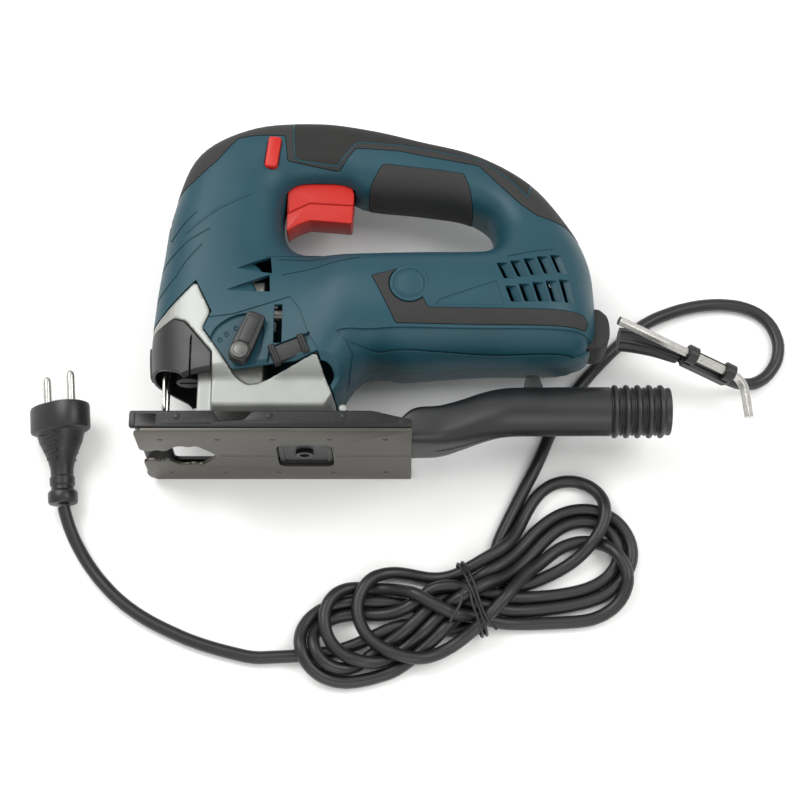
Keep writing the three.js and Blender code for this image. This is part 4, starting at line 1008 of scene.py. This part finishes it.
# ---- nose lever --------------------------------------------------------------------------
# A hollow hood of black glass-filled nylon over the blade clamp, hinged at its rear. It has
# a raised keel down its front and a mouth with a stepped lower edge for the blade.


def satin_black(place):
    speck = place.grain(1900.0)
    rub = place.grain(70.0, 6.0)
    return {
        "Base Color": rub.between(colour("111213"), colour("1c1d1e")),
        "Roughness": rub * 0.22 + 0.3,
        "Normal": place.relief(speck, 0.00004, 0.0006),
    }


black_nylon = finish("black_nylon", satin_black)
lever_zone = [(-150, 61), (-132.4, 69), (-126, 72.2), (-119.9, 69.8), (-104.4, 50.2), (-104.4, 25),
              (-107, 25.2), (-109.6, 29.6), (-112, 28.6), (-114.4, 32.6), (-117, 32.6), (-120, 38.2),
              (-122, 40.2), (-127, 42.2), (-134, 44.6), (-150, 45.6)]
keel_zone = [(-150, 58.5), (-133, 66.5), (-128.4, 69.2), (-128.4, 45), (-134, 45), (-150, 46)]
lever_hood = carved(
    prism(soften(lever_zone, 1.0), -FAR, FAR), ("INTERSECT", trimmed),
    ("UNION", carved(prism(keel_zone, -4.6, 4.6, 0.8), ("INTERSECT", body_form(-1.3)))),
    ("DIFFERENCE", together(*[prism([(x, 30), (x + 1.0, 30), (x + 1.0, 62 - k * 7), (x, 60 - k * 7)], side * 30 - 12, side * 30 + 12)
                              for side in (1, -1) for k, x in enumerate((-116.2,))])),
)
lever_hood = carved(lever_hood, ("DIFFERENCE", body_form(2.4, 40, 110)), ("DIFFERENCE", box(-122, -90, 0, 90, -21.1, 21.1)))
lever_piece = part("nose_hood", lever_hood, black_nylon)
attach(lever_piece, "nose_lever")
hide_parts("nose_lever")

# ---- wire guard --------------------------------------------------------------------------
# One bright steel wire, 2.4 mm thick, bent into a U in front of the blade with its two ends
# held in the gear case.
guard_path = smooth_path([(-131.6, 68.5, 8), (-131.6, 45, 8), (-131.6, 29, 8), (-131.6, 24.6, 6.6), (-131.6, 22.7, 3.4),
                          (-131.6, 22.5, 0), (-131.6, 22.7, -3.4), (-131.6, 24.6, -6.6), (-131.6, 29, -8),
                          (-131.6, 45, -8), (-131.6, 68.5, -8)], 6)
guard_rings = []
for i, at in enumerate(guard_path):
    ahead = (guard_path[min(i + 1, len(guard_path) - 1)] - guard_path[max(i - 1, 0)]).normalized()
    across = Vector((1, 0, 0))
    guard_rings.append([at + across * (1.2 * c) + ahead.cross(across) * (1.2 * s) for c, s in oval(16, 2)])
guard_bar = part("guard_bar", solid(*skin(guard_rings)), nickel, 50)
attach(guard_bar, "housing")
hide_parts("guard_wire")

# ---- trigger and lock-on button ----------------------------------------------------------
# Red satin nylon. The trigger has a flat upper face and a hollowed finger face below it; the
# button stands slanted beside the grip and locks the trigger in.


def red_moulding(place):
    speck = place.grain(1500.0)
    cloud = place.grain(50.0, 3.0)
    return {
        "Base Color": cloud.between(colour("ac1b13"), colour("b92218")),
        "Roughness": cloud * 0.12 + 0.34,
        "Normal": place.relief(speck, 0.00003, 0.0007),
    }


red_nylon = finish("red_nylon", red_moulding, Specular_IOR_Level=0.36)
trigger_zone = soften([(-65.4, 165.5), (-65.7, 135.2), (-59.4, 139.6), (-52, 142.4), (-27.9, 140.2), (-26.6, 158.5), (-28.4, 165.5)], 1.4)
trigger_face = soften([(-65.4, 165.5), (-65.5, 146.2), (-59.2, 149.6), (-52.5, 153),
                       (-27.1, 151.4), (-26.6, 158.5), (-28.4, 165.5)], 1.2)
trigger_mesh = carved(prism(trigger_zone, -7.8, 7.8, 0.6), ("UNION", prism(trigger_face, -9, 9, 0.8)))
trigger_piece = part("trigger_key", trigger_mesh, red_nylon, 28)
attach(trigger_piece, "trigger")
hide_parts("trigger")
button_turn = Matrix.Rotation(math.radians(83), 2)
button_zone = soften([tuple(lock_middle + button_turn @ Vector(at)) for at in (
    (9.9, -3.0), (9.9, 2.9), (8.4, 3.8), (-9.2, 3.6), (-10.1, 2.4), (-9.8, -2.8), (-8.4, -3.8), (8.6, -3.8))], 1.3)
button_piece = part("lock_key", prism(button_zone, 13, 24.6, 1.1), red_nylon, 40)
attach(button_piece, "lock_button")
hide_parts("lock_button")

# ---- orbital lever -----------------------------------------------------------------------
# A black nylon arm in a round recess, with a flat ridge along it, held by a domed screw. It
# turns from the straight stroke to three steps of orbital swing, marked by small rings.
arm_turn = Matrix.Rotation(math.radians(69), 2)


def on_arm(outline):
    """Places an outline along the arm, from the post outwards."""
    return [tuple(Vector(lever_post) + arm_turn @ Vector(at)) for at in outline]


arm_zone = on_arm(soften([(-6.2, -5.6), (-6.2, 5.6), (4, 6.2), (23.5, 5.4), (24.6, 3.6), (24.4, -4.6), (22.6, -5.6),
                          (4, -6.2)], 4.2, 6))
ridge_zone = on_arm(soften([(5.2, -3.2), (5.2, 3.2), (21.6, 3.4), (21.8, -3.4)], 1.2))
arm_mesh = carved(prism(arm_zone, 30.9, 36.4, 1.3), ("UNION", prism(ridge_zone, 35, 37.4, 0.6)),
                  ("UNION", disc(6.0, 31, 37.0, *lever_post, 0.8)), ("UNION", disc(3.0, 12, 32, *lever_post)))
arm_piece = part("orbital_arm", arm_mesh, black_nylon)
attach(arm_piece, "orbital_lever")
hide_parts("orbital_lever")


def dull_steel(place):
    pitted = place.grain(900.0, 4.0)
    return {
        "Base Color": pitted.between(colour("4a4a48"), colour("7b7b78")),
        "Roughness": pitted * 0.2 + 0.34,
        "Normal": place.relief(pitted, 0.00008),
    }


screw_steel = finish("screw_steel", dull_steel, Metallic=0.9)
screw_rings = [[(lever_post[0] + r * c, lever_post[1] + r * s, z) for c, s in oval(40, 2)]
               for r, z in ((4.7, 36.6), (4.7, 37.9), (4.4, 38.25), (3.9, 38.35), (3.7, 38.1), (3.3, 38.1),
                            (3.1, 38.4), (1.8, 38.62), (0.5, 38.7))]
arm_screw = part("orbital_screw", solid(*skin(screw_rings)), screw_steel, 24)
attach(arm_screw, "orbital_lever")
for n, at in enumerate(((-99.6, 58.4), (-96.0, 61.8), (-90.8, 65.2))):
    floor = height_at(*at) - 2.5
    mark_rings = [[(at[0] + r * c, at[1] + r * s, floor + up) for c, s in oval(20, 2)]
                  for r, up in ((1.5, -0.3), (1.5, 0.35), (1.3, 0.5), (1.0, 0.5), (0.8, 0.1), (0.1, 0.1))]
    step_mark = part(f"orbit_mark_{n}", solid(*skin(mark_rings)), petrol_nylon)
    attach(step_mark, "housing")

# ---- blower slider -----------------------------------------------------------------------
# A black nylon slide in a slanted slot, a flat plate with a ribbed block at each end for the
# thumb. It turns the chip blower on and off.
slide_turn = Matrix.Rotation(math.radians(22), 2)
slide_middle = Vector((-61, 50.2))


def on_slide(x0, x1, y0, y1):
    return soften([tuple(slide_middle + slide_turn @ Vector(at))
                   for at in ((x0, y0), (x1, y0), (x1, y1), (x0, y1))], 0.5, 2)


slide_mesh = carved(
    prism(on_slide(-9.6, 9.6, -4.8, 4.8), 29.4, 33.4, 0.5),
    *[("UNION", prism(on_slide(x0, x1, -5.9, 5.9), 29.6, 35.6, 0.7)) for x0, x1 in ((-10.4, -6.6), (6.4, 10.4))],
    *[("UNION", prism(on_slide(x - 0.5, x + 0.5, -5.2, 5.2), 33, 36.2, 0.3)) for x in (-9.3, -7.7, 7.6, 9.2)])
slide_piece = part("blower_slide_key", slide_mesh, black_nylon)
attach(slide_piece, "blower_slider")
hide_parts("blower_slider")

# ---- cord gland --------------------------------------------------------------------------
# The rubber block at the rear that the lead's strain relief grows out of, held between the
# two shells by its flange.
gland_zone = soften([(100.4, 60), (100.4, 84), (112.6, 84), (117.2, 79.6), (118.2, 75), (118.3, 69), (117.6, 64.6),
                     (113.2, 60)], 2.0)
gland_mesh = carved(prism(gland_zone, -12.3, 12.3, 0.9), *[
    ("UNION", prism(soften([(x, 60.6), (x, 83.6), (x + 1.6, 83.6), (x + 1.6, 60.6)], 0.6), -12.45, 12.45, 0.5))
    for x in (106, 109.4)])
gland_piece = part("gland_block", gland_mesh, grip_rubber)
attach(gland_piece, "housing")
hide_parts("cord_gland")

# ---- sole plate --------------------------------------------------------------------------
# Zinc-plated steel sheet, pressed to shape, with the blade's slot open to the front, a window
# over the clamp and four pairs of spot welds to the bracket. Its face is brushed lengthwise.


def brushed_zinc(place):
    streak = place.node("Mapping", inlets={"Vector": place, "Scale": (14.0, 300.0, 900.0)}).grain(6.0, 3.0)
    stain = place.grain(24.0, 5.0)
    dull = streak * 0.5 + stain * 0.5
    return {
        "Base Color": dull.between(colour("403f3a"), colour("64625b")),
        "Roughness": stain * 0.22 + streak * 0.16 + 0.22,
        "Normal": place.relief(streak, 0.00002, 0.0004),
    }


zinc_sheet = finish("zinc_sheet", brushed_zinc, Metallic=0.85)
sole_side = [(6.4, 40), (-139.5, 40), (-143.5, 35), (-143.5, 10.4), (-141, 8), (-137, 7.2), (-135.4, 9), (-132.6, 9),
             (-131, 7.2), (-128.6, 8.4), (-124, 14.2), (-122, 15.5), (-118.5, 15.5), (-117.4, 14.4), (-114.6, 14.4),
             (-113.4, 15.5), (-111, 15.2), (-107, 9.6), (-105, 6.4), (-102.4, 1.6)]
sole_zone = soften(sole_side + [(x, -z) for x, z in reversed(sole_side)], 0.9, 3)
window_zone = soften([(-68, -17.7), (-68, 17.7), (-37, 17.7), (-37, -17.7)], 6.0, 6)
welds = [disc(1.5, -0.6, 0.28, x, z, along="Y", sides=20) for x in (-130, -99, -69, -38, -8) for z in (-27, 27)]
sole_mesh = carved(
    prism(sole_zone, 0, 2, 0.35, "Y"), ("DIFFERENCE", prism(window_zone, -2, 4, along="Y")),
    ("DIFFERENCE", together(*welds)),
    ("DIFFERENCE", prism([(-100, -0.45), (-100, 0.45), (-69, 0.45), (-69, -0.45)], -1, 0.3, along="Y")),
    ("DIFFERENCE", prism([(-36, -0.45), (-36, 0.45), (7, 0.45), (7, -0.45)], -1, 0.3, along="Y")))
sole_piece = part("sole_sheet", sole_mesh, zinc_sheet, 28)
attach(sole_piece, "base")
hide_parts("sole_plate")

# ---- bracket over the sole ---------------------------------------------------------------
# Two millimetre steel sheet bent up round the sole and welded to it, coated semi-gloss black
# and rubbed bright along its edges. Its front hoop stands round the blade.


def worn_black(place):
    scuff = place.grain(150.0, 6.0)
    streak = place.node("Mapping", inlets={"Vector": place, "Scale": (20.0, 420.0, 420.0)}).grain(5.0, 4.0)
    bare = (scuff * streak) > 0.4
    return {
        "Base Color": bare.between(colour("0e0f10"), colour("575754")),
        "Roughness": scuff * 0.2 + 0.26,
        "Metallic": bare * 0.7 + 0.2,
        "Normal": place.relief(scuff, 0.00003, 0.0006),
    }


coated_sheet = finish("coated_sheet", worn_black)
bracket_side = soften([(-145.5, 2.3), (-145.5, 12), (-100.5, 12), (-97, 6), (-84, 6.8), (-79, 12), (-15, 12),
                       (6.4, 6.8), (6.4, 2.3)], 1.6)
bracket_inner = [(-147.5, 0), (-147.5, 10), (-101.6, 10), (-98, 4.2), (-83, 4.2), (-78, 10), (-16, 10),
                 (8.4, 4.2), (8.4, 0)]
bracket_mesh = carved(
    prism(bracket_side, -40, 40, 0.8), ("DIFFERENCE", prism(bracket_inner, -38, 38)),
    ("DIFFERENCE", prism(soften([(-129, -34), (-129, 34), (-8, 34), (-8, -34)], 3, 5), 0, 20, along="Y")),
    ("DIFFERENCE", box(-9, 20, 0, 20, -20, 20)),
    ("DIFFERENCE", box(-142.5, -131, 3.2, 10, -60, 60)),
    *[("UNION", prism(stroke([(x0, 4.6), (x1, 4.6)], 0.9), side * 39.6 - 0.6, side * 39.6 + 0.6, 0.25))
      for side in (1, -1) for x0, x1 in ((-128, -101), (-80, 2))],
    *[("UNION", disc(1.8, side * 39.6 - 0.5, side * 39.6 + 0.7, x, 8.6, 0.4, sides=20))
      for side in (1, -1) for x in (-120, -70, -30)])
bracket_piece = part("bracket_sheet", bracket_mesh, coated_sheet)
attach(bracket_piece, "base")
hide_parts("base_bracket")

# ---- saddle and clamp of the base --------------------------------------------------------
# A pressed black saddle that the base tilts in, a round steel bar that slides with the foot,
# and the socket screw that clamps them through the window.
saddle_mesh = carved(
    prism(soften([(-72, 2.3), (-72, 11.5), (-34, 11.5), (-34, 2.3)], 1.2), -8, 8, 1.0),
    ("DIFFERENCE", disc(5.0, -74, -32, 0, 13, along="X")))
saddle_piece = part("bevel_saddle", saddle_mesh, coated_sheet)
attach(saddle_piece, "base")
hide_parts("base_saddle")
# Painted shade: a black coated pan set in the sole's window, so that the window reads as the dark inside it and hides
# what lies behind.
window_shade_pan_mesh = carved(
    prism(soften([(-67.4, -17), (-67.4, 17), (-37.6, 17), (-37.6, -17)], 3.6, 6), 1.6, 3.0, 0.4, "Y"),
    ("DIFFERENCE", prism(soften([(-64.6, -14.4), (-64.6, 14.4), (-40.4, 14.4), (-40.4, -14.4)], 3, 6), 1, 2.2, along="Y")),
    ("DIFFERENCE", disc(6.4, 0, 4, -53, 0, along="Y")))
window_shade_pan_piece = part("window_pan", window_shade_pan_mesh, coated_sheet)
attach(window_shade_pan_piece, "base")

# ---- dust tube ---------------------------------------------------------------------------
# Blow-moulded satin black plastic, pushed onto the rear of the base: flat under the motor,
# then round, with five grip rings at the hose end and a small hanging fin.
tube_centre = 26.4
tube_radius = 13.8
tube_stations = [(-23, 7.3, 4.6, 16, 6), (-6, 7.5, 4.8, 16.5, 6), (7, 13.2, 10.4, 17.5, 5), (22, 14.6, 11.6, 17.5, 4),
                 (34, 18.2, 12.6, 16, 3), (46, 22.6, 13.4, 14.6, 2.4), (60, 25.8, tube_radius, tube_radius, 2),
                 (85, 26.3, tube_radius, tube_radius, 2), (112, tube_centre, tube_radius, tube_radius, 2)]


def tube_form(rows, drawn_in):
    return solid(*skin([[(x, y + c * (high - drawn_in), s * (wide - drawn_in)) for c, s in oval(56, power)]
                        for x, y, high, wide, power in rows]))


tube_rows = smooth_path(tube_stations, 7)
tube_bore = [tube_rows[0] - Vector((1, 0, 0, 0, 0)), *tube_rows[1:], Vector((153, tube_centre, tube_radius, tube_radius, 2))]
ring_profile = [(-0.6, 0.0), (0, -0.75), (0.5, -0.5), (1.0, 0.7), (1.6, 1.2), (2.6, 1.2), (3.4, 0.7), (4.2, -0.5),
                (4.8, -0.75)]
for ring_x in (118, 124.4, 130.8, 137.2, 143.6):
    tube_rows += [Vector((ring_x + x, tube_centre, tube_radius + up, tube_radius + up, 2)) for x, up in ring_profile]
tube_rows += [Vector((150.6, tube_centre, tube_radius - 0.3, tube_radius - 0.3, 2)),
              Vector((151.2, tube_centre, tube_radius - 0.9, tube_radius - 0.9, 2))]
tube_seam = carved(box(20, 116, -20, 60, -0.35, 0.35), ("INTERSECT", tube_form(tube_rows, -0.35)))
tube_mesh = carved(
    tube_form(tube_rows, 0),
    ("UNION", tube_seam),
    ("UNION", prism(soften([(69, 38), (71.2, 47.5), (78.2, 47.5), (81.4, 38)], 1.2), -2.5, 2.5, 0.6)),
    ("DIFFERENCE", tube_form(tube_bore, 2.2)))
tube_piece = part("dust_pipe", tube_mesh, black_nylon)
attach(tube_piece, "base")
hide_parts("dust_tube")

# ---- drive and fittings ------------------------------------------------------------------
# What the shells hide or half show keeps its plain turned and pressed form: ground steel,
# stacked electrical sheet, turned copper, sintered bronze, pressed carbon and natural nylon.


def plain(name, dark, light, scale, rough, height=0.00003, **fixed):
    """A finish that wavers between two shades, with a fine grain."""
    def paint(place):
        cloud = place.grain(scale, 4.0)
        return {
            "Base Color": cloud.between(colour(dark), colour(light)),
            "Roughness": cloud * 0.16 + rough,
            "Normal": place.relief(place.grain(scale * 12), height),
        }
    return finish(name, paint, **fixed)


def stacked_sheet(place):
    layers = place.node("TexWave", {"wave_type": "BANDS", "bands_direction": "X"}, "Fac", {
        "Vector": place, "Scale": 320.0, "Distortion": 0.4})
    return {
        "Base Color": layers.between(colour("4c4d4f"), colour("85868a")),
        "Roughness": layers * 0.2 + 0.4,
        "Normal": place.relief(layers, 0.00008),
    }


ground_steel = plain("ground_steel", "9d9d99", "c4c4c0", 140.0, 0.22, Metallic=1.0)
drive_finishes = {
    finish("stacked_sheet", stacked_sheet, Metallic=0.8): ("armature_core", "stator"),
    plain("turned_copper", "9c5430", "c07447", 160.0, 0.26, Metallic=1.0): ("commutator",),
    plain("sintered_bronze", "86682f", "b18c4c", 300.0, 0.4, 0.00006, Metallic=0.9): (
        "upper_plunger_bush", "lower_plunger_bush", "brush_holder_left", "brush_holder_right"),
    plain("pressed_carbon", "232323", "3a3a3b", 220.0, 0.55): ("carbon_brush_left", "carbon_brush_right"),
    plain("natural_nylon", "cbc6b6", "dedacd", 90.0, 0.42): ("fan",),
    black_nylon: ("switch_body", "blade_clamp"),
    # Painted shade: the clamp screw is bright steel, and takes the black coating so that it reads as the dark in the
    # sole's window.
    coated_sheet: ("base_screw",),
    ground_steel: (
        "plunger", "gear_wheel", "gear_axle", "pinion", "armature_shaft", "front_bearing", "rear_bearing",
        "roller_fork", "guide_roller", "roller_pin", "fork_pin", "clamp_bar"),
}
for material, names in drive_finishes.items():
    for name in names:
        node = frame["nodes"][name]
        for holder in node.material_slots:
            holder.material = material
